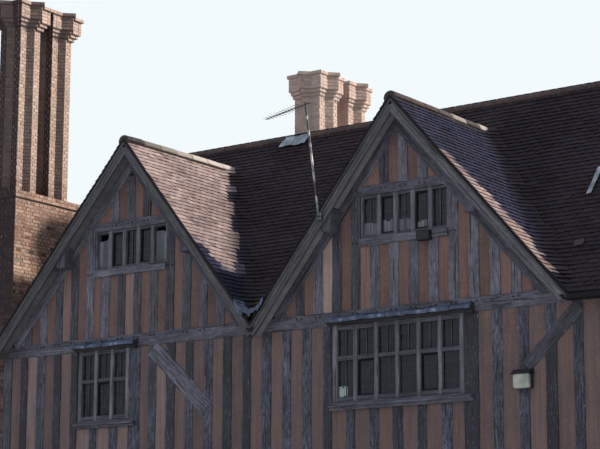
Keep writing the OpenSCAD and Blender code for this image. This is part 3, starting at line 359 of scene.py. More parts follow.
# Wall studs: oak that the eaves drip on, almost black with damp between silver flakes
wet_oak = timber_finish("stained_wall_oak", [(0.0, "#131319"), (0.3, "#21242d"), (0.5, "#353846"),
                                             (0.75, "#5b5f70"), (1.0, "#8c8e9b")], 1.0, 0.8, 0.4)
# Hoods and pegs: oak near black with a violet cast; on the hoods it is painted shade under the lead
hood_oak = timber_finish("near_black_hood_oak", [(0.0, "#141317"), (0.4, "#211f24"), (0.7, "#322f35"),
                                             (1.0, "#4b474d")], 0.8, 0.4)
# Soffits: oak in an even pale grey, painted light under the verges
soffit_oak = timber_finish("soffit_oak_painted_light", [(0.0, "#5a5a5e"), (0.35, "#747377"), (0.65, "#8a898d"),
                                              (1.0, "#a3a2a5")], 0.6, 0.12)
# Bargeboards: planed and moulded oak, a plain mid grey with a few stains
barge_oak = timber_finish("moulded_barge_oak", [(0.0, "#2a2a2f"), (0.35, "#45464b"), (0.65, "#606168"),
                                                (1.0, "#85868c")], 0.8, 0.35, 0.2)
# Window frames: planed oak, evenly silvered, with few stains
frame_oak = timber_finish("silvered_frame_oak", [(0.0, "#292b32"), (0.3, "#42454f"), (0.6, "#62656f"),
                                                 (1.0, "#9699a4")], 0.7, 0.15, 0.3)
# Boards in the windows: sawn softwood, grey and even
grey_boards = timber_finish("grey_softwood", [(0.0, "#3a3c43"), (0.4, "#5c5f68"), (0.7, "#767983"),
                                              (1.0, "#989aa2")], 0.7)
# Door: oiled oak, still brown
door_oak = timber_finish("door_oak", [(0.0, "#2c231d"), (0.4, "#4d3c30"), (0.7, "#65503f"), (1.0, "#7d6650")],
                         0.8)


def laid(name, colours, mortar, wide, high, gap, rough=0.85):
    """Boards or pavers laid flat in rows, wide metres along the row and high metres across it, with a gap
    between them, a colour of their own from the two given, grain or sand and a shallow bevel at the gaps."""
    material, tree, place, tone = start(name)
    rows = add(tree, "TexBrick", Vector=place, Color1=colours[0], Color2=colours[1], Mortar=mortar, Scale=1.0,
               Mortar_Size=gap, Brick_Width=wide, Row_Height=high, offset=0.5, Mortar_Smooth=0.3, Bias=0.0)
    at = add(tree, "Mapping", Vector=place, Scale=(2.2, 45, 45) if wide > 1 else (40, 40, 40))
    noise = add(tree, "TexNoise", Vector=at, Scale=1, Detail=5, Roughness=0.65)
    grain = add(tree, "ValToRGB", Fac=noise, stops=[(0.35, 0.0), (0.7, 0.55)])
    colour = add(tree, "Mix", data_type="RGBA", i0=grain, i6=rows.outputs["Color"], i7=mortar).outputs[2]
    height = add(tree, "Math", operation="MULTIPLY_ADD", i0=rows.outputs["Fac"], i1=-2.0, i2=noise)
    finish(tree, colour, height, 0.004, Roughness=rough, Specular_IOR_Level=0.2)
    return material


# Under the roofs: sawn boards 180 mm wide, near black: painted shade under the eaves
roof_boarding = laid("sawn_roof_boarding", ("#1c191c", "#262226"), "#0f0d0e", 3.2, 0.18, 0.006)
# Upper floors: elm boards 260 mm wide, waxed by feet
elm_floor = laid("elm_floor_boards", ("#6b5440", "#8a7157"), "#241b14", 2.7, 0.26, 0.004, rough=0.6)
# Ground floor: red brick pavers on edge, 235 by 85 mm with their joints
brick_pavers = laid("brick_pavers", ("#8a5546", "#a5705c"), "#5c5147", 0.235, 0.085, 0.008)

# Limewashed daub: an earth wash, pinkish brown in the gables and greyer below, blotched over 0.4 m,
# streaked down by rain in runs 60 mm wide, with specks of bare lime of 20 mm and a few bays washed paler
limewash, tree, place, tone = start("limewashed_daub")
warm = add(tree, "ValToRGB", Fac=tone, stops=[(0.0, "#514040"), (0.3, "#644c49"), (0.6, "#765b55"),
                                              (0.85, "#876d67"), (1.0, "#b39e98")])
cool = add(tree, "ValToRGB", Fac=tone, stops=[(0.0, "#51464c"), (0.3, "#625355"), (0.6, "#716061"),
                                              (0.85, "#82706f"), (1.0, "#b0a1a0")])
gable = add(tree, "Attribute", attribute_name="warm").outputs["Fac"]
colour = add(tree, "Mix", data_type="RGBA", i0=gable, i6=cool, i7=warm).outputs[2]
colour = layer(tree, colour, "#80695f", place, 2.4, 6, 0.65, [(0.38, 0.0), (0.66, 0.5)])[0]
colour = layer(tree, colour, "#473c3e", place, (16, 16, 0.7), 4, 0.6, [(0.45, 0.0), (0.72, 0.55)])[0]
colour = layer(tree, colour, "#c3ada0", place, 55, 4, 0.7, [(0.56, 0.0), (0.7, 0.35)])[0]
rough = add(tree, "TexNoise", Vector=place, Scale=22, Detail=7, Roughness=0.65)
finish(tree, colour, rough, 0.008, Roughness=0.93)

# Old glass in lead before a dark room: blue-black with faint runs of dirt down it 30 mm wide, and little
# shine, each pane its own shade; the palest shades are those of a card in one window
old_glass, tree, place, tone = start("old_glass")
colour = add(tree, "ValToRGB", Fac=tone, stops=[(0.0, "#191a20"), (0.5, "#202229"), (0.8, "#272a32"),
                                                (0.9, "#343843"), (0.95, "#9fb0ac"), (1.0, "#c4d2cc")])
colour = layer(tree, colour, "#363b46", place, (30, 30, 2.0), 4, 0.6, [(0.5, 0.0), (0.7, 0.25)])[0]
waves = add(tree, "TexNoise", Vector=place, Scale=9, Detail=2)
finish(tree, colour, waves, 0.003, Roughness=0.12, IOR=1.5, Specular_IOR_Level=0.15)

# Wrought iron painted black, dull, with rust showing through in spots of 30 mm
wrought_iron = coat("painted_wrought_iron", 30, 4, 0.7, [(0.3, "#0c0d10"), (0.55, "#14161a"),
                                                         (0.75, "#2b2523")], 0.001,
                    Roughness=0.75, Specular_IOR_Level=0.15)
# Old lead on the windows' hoods: dark slate blue, pale in patches of 140 mm, dented every 70 mm
hood_lead = coat("tarnished_lead", 7, 6, 0.75, [(0.35, "#232a3a"), (0.5, "#3b4763"), (0.6, "#5e6d8c"),
                                                (0.7, "#a5b2c6")], 0.008, dents=(14, 4), Roughness=0.6)
# Sheet lead: dull blue-grey, darkened here and bloomed with pale oxide there in patches of 160 mm
sheet_lead = coat("sheet_lead", 6, 5, 0.7, [(0.3, "#59626f"), (0.46, "#76818f"), (0.6, "#9ba6b3"),
                                            (0.72, "#c9d1d9")], 0.008, dents=(12, 4), Roughness=0.5,
                  Metallic=0.3)
# Lead cames between the quarries: thin and blackened, hardly paler than the glass
came_lead = coat("blackened_came_lead", 25, 3, 0.5, [(0.35, "#22242a"), (0.65, "#363a43")], 0.001,
                 Roughness=0.7)
# Rusted sheet steel over the flues: brown scale over grey in spots of 60 mm, black where it is sooted
flue_steel = coat("rusted_flue_steel", 17, 6, 0.7, [(0.35, "#24211f"), (0.5, "#413a37"), (0.65, "#6b5146"),
                                                    (0.8, "#857a74")], 0.002, Roughness=0.75, Metallic=0.2)
# Black moulded plastic of the lamps: satin, chalky in patches of 80 mm
lamp_plastic = coat("black_lamp_plastic", 12, 4, 0.6, [(0.35, "#15161b"), (0.6, "#22242a"), (0.8, "#3d3c3b")],
                    0.0004, dents=(400, 2), Roughness=0.6, Specular_IOR_Level=0.25)
# Ribbed lamp glass: greenish white, satin, with dust that has gathered in patches
lamp_glass = coat("ribbed_lamp_glass", 6, 3, 0.5, [(0.35, "#8c928c"), (0.55, "#a9aea4"), (0.75, "#c9cbbd")],
                  0.0006, Roughness=0.3, IOR=1.5)

# Galvanised steel tube: dull pale zinc with a spangle of 11 mm, banded by dirt every few hundred millimetres
zinc, tree, place, tone = start("galvanised_steel")
at = add(tree, "Mapping", Vector=place, Scale=(1, 1, 5.5))
noise = add(tree, "TexNoise", Vector=at, Scale=1, Detail=3)
colour = add(tree, "ValToRGB", Fac=noise, stops=[(0.45, "#3c3e42"), (0.53, "#8b8e8e"), (0.7, "#b4b6b5")])
spangle = add(tree, "TexVoronoi", Vector=place, Scale=90).outputs["Distance"]
finish(tree, colour, spangle, 0.0004, Roughness=0.5, Metallic=0.6)


def swept(rings, **values):
    """A closed solid from stations of closed loops, (stations, points, 3), each loop running anticlockwise
    about the direction of travel: quads between neighbouring stations and a flat face over each end."""
    m, k = rings.shape[:2]
    grid = np.arange(m * k).reshape(m, k)
    after = np.roll(grid, -1, 1)
    quads = np.stack([grid[:-1], after[:-1], after[1:], grid[1:]], -1).reshape(-1, 4)
    caps = np.stack([grid[0][::-1], grid[-1]])
    out = {"points": rings.reshape(-1, 3), "faces": [quads, caps]}
    for key, value in values.items():
        out[key] = np.broadcast_to(value, (m, k)).reshape(-1) if key != "uv" else value.reshape(-1, 2)
    return out


def sheet(front, rear, **values):
    """A closed slab from two grids of points, one over the other: quads over both faces and round the rim.
    The ways along a row, from row to row and from rear to front are right-handed, as x, y and z are. Values
    are one number each."""
    m, n = front.shape[:2]
    grid = np.arange(m * n).reshape(m, n)
    quads = np.stack([grid[:-1, :-1], grid[:-1, 1:], grid[1:, 1:], grid[1:, :-1]], -1).reshape(-1, 4)
    rim = np.concatenate([grid[0, :-1], grid[:-1, -1], grid[-1, :0:-1], grid[:0:-1, 0]])
    ring = np.roll(rim, -1)
    sides = np.stack([rim, rim + m * n, ring + m * n, ring], 1)
    return {"points": np.concatenate([front.reshape(-1, 3), rear.reshape(-1, 3)]),
            "faces": [np.concatenate([quads, quads[:, ::-1] + m * n, sides])],
            **{key: np.full(2 * m * n, value) for key, value in values.items()}}


# Which way a block's corners lie from its middle, along the wall and up, anticlockwise as seen from outside.
# In BLOCK, the block's faces, the rear corners are points 0 to 3 and the front corners 4 to 7
CORNERS = np.array([[-1, -1], [1, -1], [1, 1], [-1, 1]])
BLOCK = np.array([[4, 5, 6, 7], [0, 1, 5, 4], [1, 2, 6, 5], [2, 3, 7, 6], [3, 0, 4, 7], [3, 2, 1, 0]])

# Painted sunlight on the tiles of the two gables' right slopes, in plan, as the photograph shows it: the
# corners of its lower edge and of its upper edge, each as x and y
PAINTED_SUNLIGHT_EDGES = [([(-4.95, -3.60), (-3.67, -3.60), (-3.60, -3.52), (-3.36, -3.43), (-3.12, -3.32), (-2.91, -3.20),
              (-2.84, -3.05)],
             [(-4.95, -0.45), (-4.72, -0.73), (-3.67, -1.92), (-3.60, -1.99), (-3.36, -2.25), (-3.12, -2.51),
              (-2.91, -2.74), (-2.84, -2.82)]),
            ([(1.60, -3.60), (3.66, -3.60)],
             [(1.60, -3.40), (1.77, -3.28), (2.10, -3.20), (2.32, -3.12), (2.65, -3.12), (2.72, -2.98),
              (2.90, -3.06), (3.05, -3.14), (3.21, -3.23), (3.36, -3.31), (3.50, -3.41), (3.66, -3.53)])]


def painted_sunlight(x, y):
    """How much painted sunlight the tiles take at places in plan: 1 between the edges above, fading over 50
    mm to 0 outside.
    """
    share = np.zeros_like(x)
    for edges in PAINTED_SUNLIGHT_EDGES:
        near, far = (np.interp(x, *zip(*edge)) for edge in edges)
        inside = np.clip((y - near) / 0.05 + 0.5, 0, 1) * np.clip((far - y) / 0.05 + 0.5, 0, 1)
        share = np.maximum(share, inside * (x > edges[0][0][0]) * (x < edges[0][-1][0]))
    return share


# Plain tiles: about 165 mm wide and 11 mm thick at the tail, in courses 79.5 mm apart in height, which is
# some 105 mm up the slope. HEAD is how far up the slope a tile reaches, in the end under the next course,
# TILE_UP is the first course's height over the eaves, and SWEEP is the radius of the courses in the valleys
TILE_W, THICK, HEAD, GAUGE, TILE_UP, SWEEP = 0.168, 0.011, 0.15, 0.0795, 0.03, 0.32


def course_lines(z):
    """The level lines that one course of tiles follows over the front roof, from left to right, cut where it
    passes over a gable. Each is its left and right end, the main slope's distance from the ridge in plan at
    this level, and the slopes of the gables that it turns in from and out to, None at the roof's ends."""
    reach = (RIDGE - z) / MAIN
    lines, a, turn_in = [], -ROOF_END, None
    for g in [g for g in GABLES if z < g["z"] - 0.05]:
        lines.append((a, g["x"] - (g["z"] - z) / g["left"], reach, turn_in, g["left"]))
        a, turn_in = g["x"] + (g["z"] - z) / g["right"], g["right"]
    lines.append((a, ROOF_END, reach, turn_in, None))
    return [line for line in lines if line[1] - line[0] > 0.06]


def knots(a, b, reach, turn_in, turn_out):
    """Knots of a level line: straight in from a gable's verge, a quarter round of radius r, straight along
    the main slope, a quarter round and straight out to a verge. Gives distance, x, y, heading, slope, leg
    and r."""
    leg = VERGE - reach
    r = max(min(SWEEP, 0.9 * leg, 0.45 * (b - a)), 1e-3)
    turn = np.linspace(0, np.pi / 2, 9)
    start = [[a], [-reach], [0.0], [1.15]]
    if turn_in:
        start = [[a, *(a + r - r * np.cos(turn))], [-VERGE, *(-reach - r + r * np.sin(turn))],
                 [np.pi / 2, *(np.pi / 2 - turn)], [turn_in] * 10]
    end = [[b], [-reach], [0.0], [1.15]]
    if turn_out:
        end = [[*(b - r + r * np.sin(turn)), b], [*(-reach - r + r * np.cos(turn)), -VERGE],
               [*(-turn), -np.pi / 2], [turn_out] * 10]
    x, y, heading, slope = (np.array([*p, *q]) for p, q in zip(start, end))
    s = np.concatenate([[0], np.cumsum(np.hypot(np.diff(x), np.diff(y)))])
    return s, x, y, heading, slope, leg, r


def joints_of(line, odd, s, leg, r):
    """Places of the joints along a line: regular from each verge and along the main slope, half a tile over
    in every second course, and evenly spaced in between."""
    a, b, _, turn_in, turn_out = line
    half = TILE_W / 2 if odd else 0.0
    lo, hi = a + (r if turn_in else 0), b - (r if turn_out else 0)
    verge = half + TILE_W * np.arange(1, max(int((leg - r - half) / TILE_W), 0) + 1)
    grid = TILE_W * np.arange(math.ceil((lo + half) / TILE_W), int((hi + half) // TILE_W) + 1) - half
    groups = [verge if turn_in else verge[:0], (s[9] if turn_in else 0.0) + grid - lo,
              s[-1] - verge[::-1] if turn_out else verge[:0], s[-1:]]
    joints = np.zeros(1)
    for group in groups:
        group = group[group > joints[-1] + 0.4 * TILE_W]
        if len(group):
            n = max(1, round((group[0] - joints[-1]) / (1.2 * TILE_W)))
            joints = np.concatenate([joints, np.linspace(joints[-1], group[0], n + 1)[1:-1], group])
    return np.append(joints[joints < s[-1] - 0.4 * TILE_W], s[-1])


def tiles(line, z, odd, back=False):
    """One course of tiles on a level line. A tile is four points across by three up: the foot of its tail,
    the tail's top edge and its head, which lies under the next course. Each point stands on the line at its
    own place, goes up the slope by its distance and out along the slope's normal by its height."""
    s, x, y, heading, slope, leg, r = knots(*line)
    joints = joints_of(line, odd, s, leg, r)
    left, width = joints[:-1], np.diff(joints)
    n = len(left)
    gap = rng.uniform(0.001, 0.004, n)[:, None]
    at = left[:, None] + gap + np.array([0.0, 0.33, 0.67, 1.0]) * (width[:, None] - 2 * gap)
    px, py, turn, gable = (np.interp(at, s, v) for v in (x, y, heading, slope))
    fall = np.stack([np.sin(turn), -np.cos(turn), np.zeros_like(turn)], -1)
    run = np.abs(np.cos(turn)) / MAIN + np.abs(np.sin(turn)) / gable
    size = np.sqrt(1 + run ** 2)[..., None]
    climb = (UP - fall * run[..., None]) / size
    out = (UP * run[..., None] + fall) / size
    base = np.stack([px, py, np.full_like(px, z)], -1)
    slip = rng.normal(0, 0.004, n) + np.where(rng.random(n) < 0.012, -0.02, 0)
    sag = 0.004 + 0.003 * np.sin(px.mean(1) * 1.9 + z * 2.3) + 0.003 * np.sin(py.mean(1) * 2.7 - z * 1.1)
    camber = 0.004 * np.array([0, 1, 1, 0]) + rng.normal(0, 0.0024, n)[:, None] * np.array([-1, -0.4, 0.4, 1])
    up_by = np.stack([slip[:, None] + rng.normal(0, 0.0015, (n, 4))] * 2 + [np.full((n, 4), HEAD)], 1)
    tail = (0.008 + sag + np.abs(rng.normal(0, 0.0015, n)))[:, None] + camber
    out_by = np.stack([tail, tail + THICK, 0.5 * camber + 0.6 * sag[:, None] - 0.002], 1)
    points = base[:, None] + climb[:, None] * up_by[..., None] + out[:, None] * out_by[..., None]
    if back:
        points = points * np.array([-1, -1, 1])
    cell = np.array([[[c, c + 1, c + 5, c + 4], [c + 4, c + 5, c + 9, c + 8], [c + 1, c, c + 8, c + 9]]
                     for c in range(3)]).reshape(1, 9, 4)
    first = (np.arange(n) * 12)[:, None, None]
    ends = first + np.array([[8, 0, 4], [3, 11, 7]])
    middle = np.array([px.mean(1), py.mean(1)])
    # A tile's pale share is painted sunlight. Tiles on the right gable's right slope take at least 0.03 of it
    pale = np.where(np.abs(turn).mean(1) > 0.5, painted_sunlight(*middle), 0) * (not back)
    pale = np.maximum(pale * rng.uniform(0.85, 1.0, n), 0.03 * (turn.mean(1) > 0.5) * (middle[0] > 0))
    moss = np.exp(-((middle[0] - VALLEY) / 0.16) ** 2) * np.clip((6.95 - z) / 0.25, 0, 1) * (not back)
    return {"points": points.reshape(-1, 3), "faces": [ends.reshape(-1, 3), (first + cell).reshape(-1, 4)],
            "tone": np.repeat(np.clip(rng.normal(0.5, 0.22, n), 0, 1), 12), "pale": np.repeat(pale, 12),
            "moss": np.repeat(0.8 * moss, 12)}


levels = np.arange(EAVE + TILE_UP, RIDGE - 0.05, GAUGE)
front = [tiles(line, z, k % 2) for k, z in enumerate(levels) for line in course_lines(z)]
back = [tiles((-ROOF_END, ROOF_END, (RIDGE - z) / MAIN, None, None), z, k % 2, back=True)
        for k, z in enumerate(levels)]
piece("front_tiles", **join(front), material=clay_tile, slot="roof_tile")
piece("back_tiles", **join(back), material=clay_tile, slot="roof_tile")


def half_rounds(a, b, n, side, pale):
    """A row of n half-round ridge tiles from a to b: the section is an outer half circle closed by an inner
    one, swept along the ridge with a little tilt and sway, and narrower at its two ends."""
    a, b, side = (np.array(v, float) for v in (a, b, side))
    step = np.linalg.norm(b - a) / n
    along = (b - a) / np.linalg.norm(b - a)
    turn = np.radians(np.concatenate([np.linspace(92, -92, 13), np.linspace(-88, 88, 5)]))
    inner = np.array([0.0] * 13 + [-0.016] * 5)
    parts = []
    for i in range(n):
        share = np.array([0.01, 0.04, 0.3, 0.7, 0.96, 0.99])
        r = 0.116 + rng.uniform(0, 0.006) + np.array([-0.007, 0, 0.001, 0.001, 0, -0.007])
        tilt, sway = rng.normal(0, 0.005, 2)
        centre = (a + along * ((i + share) * step)[:, None] + UP * (tilt * (share - 0.5) - 0.065)[:, None]
                  + side * (sway * (share - 0.5))[:, None])
        rings = centre[:, None] + (r[:, None] + inner)[..., None] * (np.cos(turn)[:, None] * UP
                                                                    + np.sin(turn)[:, None] * side)
        parts.append(swept(rings, tone=rng.random(), pale=pale))
    return parts


# The main ridge stops either side of the lead saddle behind the centre stack; each gable's seven ridge tiles
# are splashed with lime, the more the nearer they are to the main roof
SADDLE_L, SADDLE_R = -3.95, -3.40
ridge = half_rounds((-ROOF_END, 0, RIDGE), (SADDLE_L, 0, RIDGE), 9, (0, -1, 0), 0.0)
ridge += half_rounds((SADDLE_R, 0, RIDGE), (ROOF_END, 0, RIDGE), 26, (0, -1, 0), 0.0)
for g, limed in zip(GABLES, ((0.0, 0.25, 0.4, 0.6, 0.95, 1.0, 1.0), (0.0, 0.0, 0.0, 0.05, 0.55, 0.05, 0.8))):
    meets = (g["z"] - RIDGE) / MAIN + 0.06
    ends = np.linspace(-VERGE, meets, 8)
    for a, b, share in zip(ends[:-1], ends[1:], limed):
        ridge += half_rounds((g["x"], a, g["z"]), (g["x"], b, g["z"]), 1, (1, 0, 0), share)
piece("ridge_rounds", **join(ridge), material=ridge_clay, slot="ridge_tile", smooth=True)


# Timbers
def timber(side, x0, z0, x1, z1, width, proud=0.006, depth=0.18, wander=0.007, arris=0.007, tone=None):
    """A hewn timber in a wall, from one end of its middle line to the other. Its section is a rectangle with
    worn arrises and a slightly crowned face; each edge wanders by two sine waves of random phase as the
    section is carried along. Its metres run round the section and along the timber."""
    p, q = on_wall(side, x0, z0, 0), on_wall(side, x1, z1, 0)
    long = np.linalg.norm(q - p)
    ahead, away = (q - p) / long, WALLS[side][2]
    across = np.cross(away, ahead)
    m = max(2, int(long / 0.16) + 1)
    s = np.linspace(0, long, m)
    phase = rng.uniform(0, 2 * np.pi, (3, 2))
    wave = wander * (0.6 * np.sin(s * 5.2 + phase[:, :1]) + 0.4 * np.sin(s * 14.5 + phase[:, 1:]))
    half = width / 2
    worn = arris * rng.uniform(0.6, 1.5)
    a = np.stack([-half - wave[0], half + wave[1], half + wave[1], half + wave[1] - worn, wave[2],
                  -half - wave[0] + worn, -half - wave[0]], 1)
    face = proud + 0.3 * wave[2]
    back = np.full(m, -depth)
    out = np.stack([back, back, face - worn, face, face + 0.0025, face, face - worn], 1)
    points = p + ahead * s[:, None, None] + across * a[..., None] + away * out[..., None]
    round_by = np.array([-half - depth, half + depth, half, half, 0, -half, -half])
    uv = np.stack(np.broadcast_arrays(round_by + rng.uniform(0, 40), s[:, None] + rng.uniform(0, 40)), -1)
    return swept(points, uv=uv, tone=rng.random() if tone is None else tone)


def boxes_on(side, node):
    """The solids of a node that lie in one wall, as left, right, bottom and top along that wall."""
    start, along, away = WALLS[side]
    found = []
    for lo, hi in solids(node):
        if abs(np.dot((lo + hi) / 2 - start, away)) < 0.3:
            ends = sorted((np.dot(lo - start, along), np.dot(hi - start, along)))
            found.append((*ends, lo[2], hi[2]))
    return found


def standing(side, node):
    """An upright timber over each of a node's solids in a wall."""
    return [timber(side, (a + b) / 2, lo, (a + b) / 2, hi, b - a) for a, b, lo, hi in boxes_on(side, node)]


def lying(side, node):
    """A level timber over each of a node's solids in a wall, a little prouder than the upright ones."""
    return [timber(side, a, (lo + hi) / 2, b, (lo + hi) / 2, hi - lo, proud=0.01)
            for a, b, lo, hi in boxes_on(side, node)]


def oak_piece(name, parts, *hides, material=weathered_oak):
    """A piece of joined timbers, which may hide the CAD nodes that they dress."""
    piece(name, **join(parts), material=material, slot="oak", hides=hides)


SIDES = {"front": ("front",), "back": ("back",), "end": ("left", "right")}
for name, sides in SIDES.items():
    node = name + "_wall_studs"
    oak_piece(name + "_studs", [t for side in sides for t in standing(side, node)], node, material=wet_oak)
for name, sides in SIDES.items():
    node = name + "_beams"
    oak_piece(name + "_rails", [t for side in sides for t in lying(side, node)], node)
POST, POST_FOOT, POST_HEAD = 0.2, 0.67, 6.2
posts = [timber(side, x, POST_FOOT, x, POST_HEAD, POST, proud=0.008, depth=0.172)
         for side in ("front", "back") for x in (-HALF_LONG + POST / 2, HALF_LONG - POST / 2)]
oak_piece("posts", posts, "corner_posts")
# Braces lie flush in the studs. Each runs from its head's x and z down to the right (1) or left (-1) by its
# rise, and has its own width
SLANT = 1.08
braces = [timber("front", x, z, x + s * SLANT * rise, z - rise, w, proud=0.011, wander=0.012)
          for x, s, z, rise, w in ((-4.4225, 1, 6.14, 1.11, 0.29), (3.77, -1, 6.14, 0.84, 0.21),
                                   (7.75, -1, 6.14, 0.84, 0.21), (-7.75, 1, 3.04, 0.84, 0.21))]
oak_piece("wall_braces", braces, "braces")


# Gables: studs, sill rail, collar and king studs inside two raking timbers, and the ends of two purlins. The
# raking timbers begin plumb under the slopes by a gable's top, and end under them by rake_l and rake_r
PLATE_TOP, STUD, COLLAR, SILL_RAIL = 6.42, 0.18, 0.155, 0.13
for g in GABLES:
    g.update(top=0.18, rake_l=0.46, rake_r=0.61)


def rake_at(g, x, lift=0.0):
    """Height of the undersides of a gable's raking timbers, or of a line above them by lift."""
    return np.minimum(g["z"] - (g["rake_l"] - lift) - (g["x"] - x) * g["left"],
                      g["z"] - (g["rake_r"] - lift) - (x - g["x"]) * g["right"])


def span(g, z):
    """Where the undersides of a gable's raking timbers reach a level, on the left and on the right."""
    return g["x"] - (g["z"] - g["rake_l"] - z) / g["left"], g["x"] + (g["z"] - g["rake_r"] - z) / g["right"]


def rail_of(g):
    """Foot of a gable's sill rail, and the foot of its collar."""
    return 7.43 + g["lift"], 8.25 + g["lift"]


def upright(g, side, x, foot):
    """A stud from its foot up to the rakes of its gable, if that leaves it any height."""
    top = max(rake_at(g, x - STUD / 2), rake_at(g, x + STUD / 2))
    return [timber(side, x, foot, x, top, STUD)] if top > foot + 0.06 else []


def raking(g, side):
    """The two raking timbers of a gable, from the wall plate to its apex."""
    made = []
    for s, slope, plumb in ((-1, g["left"], g["rake_l"]), (1, g["right"], g["rake_r"])):
        middle = (g["top"] + plumb) / 2
        foot = (g["z"] - middle - PLATE_TOP) / slope
        made.append(timber(side, g["x"] + s * foot, PLATE_TOP, g["x"], g["z"] - middle,
                           (plumb - g["top"]) / math.sqrt(1 + slope ** 2), proud=0.014, arris=0.010))
    return made


def collar_of(g, side, z):
    """A collar between the middles of a gable's raking timbers."""
    mid = z + COLLAR / 2
    a, b = span(g, mid)
    return timber(side, a - 0.07, mid, b + 0.07, mid, COLLAR, proud=0.010)


def purlin_end(g, s):
    """The squared end of the purlin under a gable's left (-1) or right (1) slope, from the wall to the
    bargeboard: a block whose worn section is carried outwards, and whose top follows the slope."""
    half, foot, head, worn = 0.095, 7.70, 8.00, 0.012
    slope, top = g["left"] if s < 0 else g["right"], g["z"] - g["top"]
    x = g["x"] + s * (top - head) / slope
    high = [top - s * (at - g["x"]) * slope for at in (x + half, x - half)]
    a = np.array([x - half + worn, x + half - worn, x + half, x + half, x - half, x - half])
    z = np.array([foot, foot, foot + worn, *high, foot + worn])
    out = np.array([-0.10, 0.02, 0.10, 0.17, 0.225, 0.239])
    shrink = np.array([1, 1, 1.01, 0.99, 1, 0.94])[:, None]
    mid = foot + 0.15
    out = np.broadcast_to(out[:, None], (6, 6))
    points = on_wall("front", x + (a - x) * shrink, mid + (z - mid) * shrink, out)
    uv = np.stack([np.broadcast_to(np.arange(6) * 0.19 + x, (6, 6)), out], -1)
    return swept(points, uv=uv, tone=rng.uniform(0.3, 0.6))


def gable_members(g):
    """The timbers of one front gable. Studs stop under the rakes, whose feet stand on the wall plate."""
    half = 2.5 * g["pitch"] - STUD / 2
    rail, collar = rail_of(g)
    made = []
    for i in range(-9, 9):
        x = g["mid"] + (i + 0.5) * g["pitch"]
        if abs(i + 0.5) < 2.5:
            made.append(timber("front", x, PLATE_TOP, x, rail, STUD))
        else:
            made += upright(g, "front", x, PLATE_TOP)
    for i in (-1, 0, 1):
        made += upright(g, "front", g["mid"] + i * g["pitch"], collar + COLLAR)
    made.append(collar_of(g, "front", collar))
    mid = rail + SILL_RAIL / 2
    made.append(timber("front", g["mid"] - half, mid, g["mid"] + half, mid, SILL_RAIL, proud=0.03))
    return made + [purlin_end(g, -1), purlin_end(g, 1)] + raking(g, "front")


oak_piece("gable_timbers", [t for g in GABLES for t in gable_members(g)], "front_gable_frames")

# The two end gables, under the main roof, with wider spaced studs
END = dict(x=0.0, z=RIDGE, left=MAIN, right=MAIN, top=0.30, rake_l=0.60, rake_r=0.60)
END_COLLAR, END_PITCH = 8.25, 0.64
reach = span(END, END_COLLAR)[1]
end_oak = []
for side in ("left", "right"):
    for i in range(-5, 6):
        x = i * END_PITCH
        if abs(x) < reach - 0.1:
            end_oak.append(timber(side, x, PLATE_TOP, x, END_COLLAR, STUD))
            end_oak += upright(END, side, x, END_COLLAR + COLLAR)
        else:
            end_oak += upright(END, side, x, PLATE_TOP)
    end_oak.append(collar_of(END, side, END_COLLAR))
    end_oak += raking(END, side)
oak_piece("end_gable_timbers", end_oak, "end_gable_frames")


def panel(side, x0, x1, low, high, warm=0.0, shade=None):
    """A daub panel between timbers: a closed slab whose face is a grid over the bay, from its foot to the
    line of its head. The face swells from the timbers by a steep pillow shape, with a slight lean and
    ripples."""
    u = np.linspace(0, 1, 6)
    x = x0 + u * (x1 - x0)
    high = np.broadcast_to(high(x) if callable(high) else high, x.shape)
    m = max(3, int((high.max() - low) / 0.28) + 2)
    v = np.linspace(0, 1, m)[:, None]
    z = low + v * np.maximum(high - low, 0.002)
    lean, twist, swell = rng.normal(0, 0.0015), rng.normal(0, 0.0015), rng.uniform(0.004, 0.008)
    pillow = (1 - np.abs(2 * u - 1) ** 5) * (1 - np.abs(2 * v - 1) ** 9)
    ripple = 0.0012 * np.sin(9 * x + 4 * z + rng.uniform(0, 6)) + lean * (2 * u - 1) + twist * (2 * v - 1)
    face = -0.0115 + pillow * (swell + ripple)
    front = on_wall(side, np.broadcast_to(x, z.shape), z, face)
    rear = on_wall(side, np.broadcast_to(x, z.shape), z, np.full(z.shape, -0.05))
    return sheet(front, rear, tone=shade or np.clip(rng.normal(0.45, 0.22), 0, 0.88), warm=warm)


# Panels run on under the timbers by this much. Slivers of the CAD infill under 20 mm get none
UNDER = 0.012
panels = {}
for side, name in (("front", "front"), ("back", "back"), ("right", "end"), ("left", "end")):
    panels[side] = [panel(side, a - UNDER, b + UNDER, lo - UNDER, hi + UNDER)
                    for a, b, lo, hi in boxes_on(side, name + "_wall_infill") if min(b - a, hi - lo) > 0.02]


def gable_panels(g):
    """The daub panels of one front gable, bay by bay, up to the window's rail, the collar or the rakes."""
    def under(x):
        return rake_at(g, x, 0.02)

    half = STUD / 2 - UNDER
    rail, collar = rail_of(g)
    ends = span(g, PLATE_TOP)
    made = []
    for i in range(-9, 10):
        a, b = g["mid"] + (i - 0.5) * g["pitch"] + half, g["mid"] + (i + 0.5) * g["pitch"] - half
        if abs(i) < 3:
            made.append(panel("front", a, b, PLATE_TOP, rail + UNDER, 1.0))
        elif max(under(a), under(b)) > PLATE_TOP + 0.05:
            # One bay of the right gable has been washed almost white
            shade = 0.98 if g is GABLES[1] and i == -4 else None
            made.append(panel("front", max(a, ends[0]), min(b, ends[1]), PLATE_TOP, under, 1.0, shade))
    top = collar + COLLAR
    ends = span(g, top)
    edges = [ends[0], *(g["mid"] + i * g["pitch"] + s * half for i in (-1, 0, 1) for s in (-1, 1)), ends[1]]
    return made + [panel("front", a, b, top - UNDER, under, 1.0)
                   for a, b in zip(edges[::2], edges[1::2]) if b > a + 0.02]


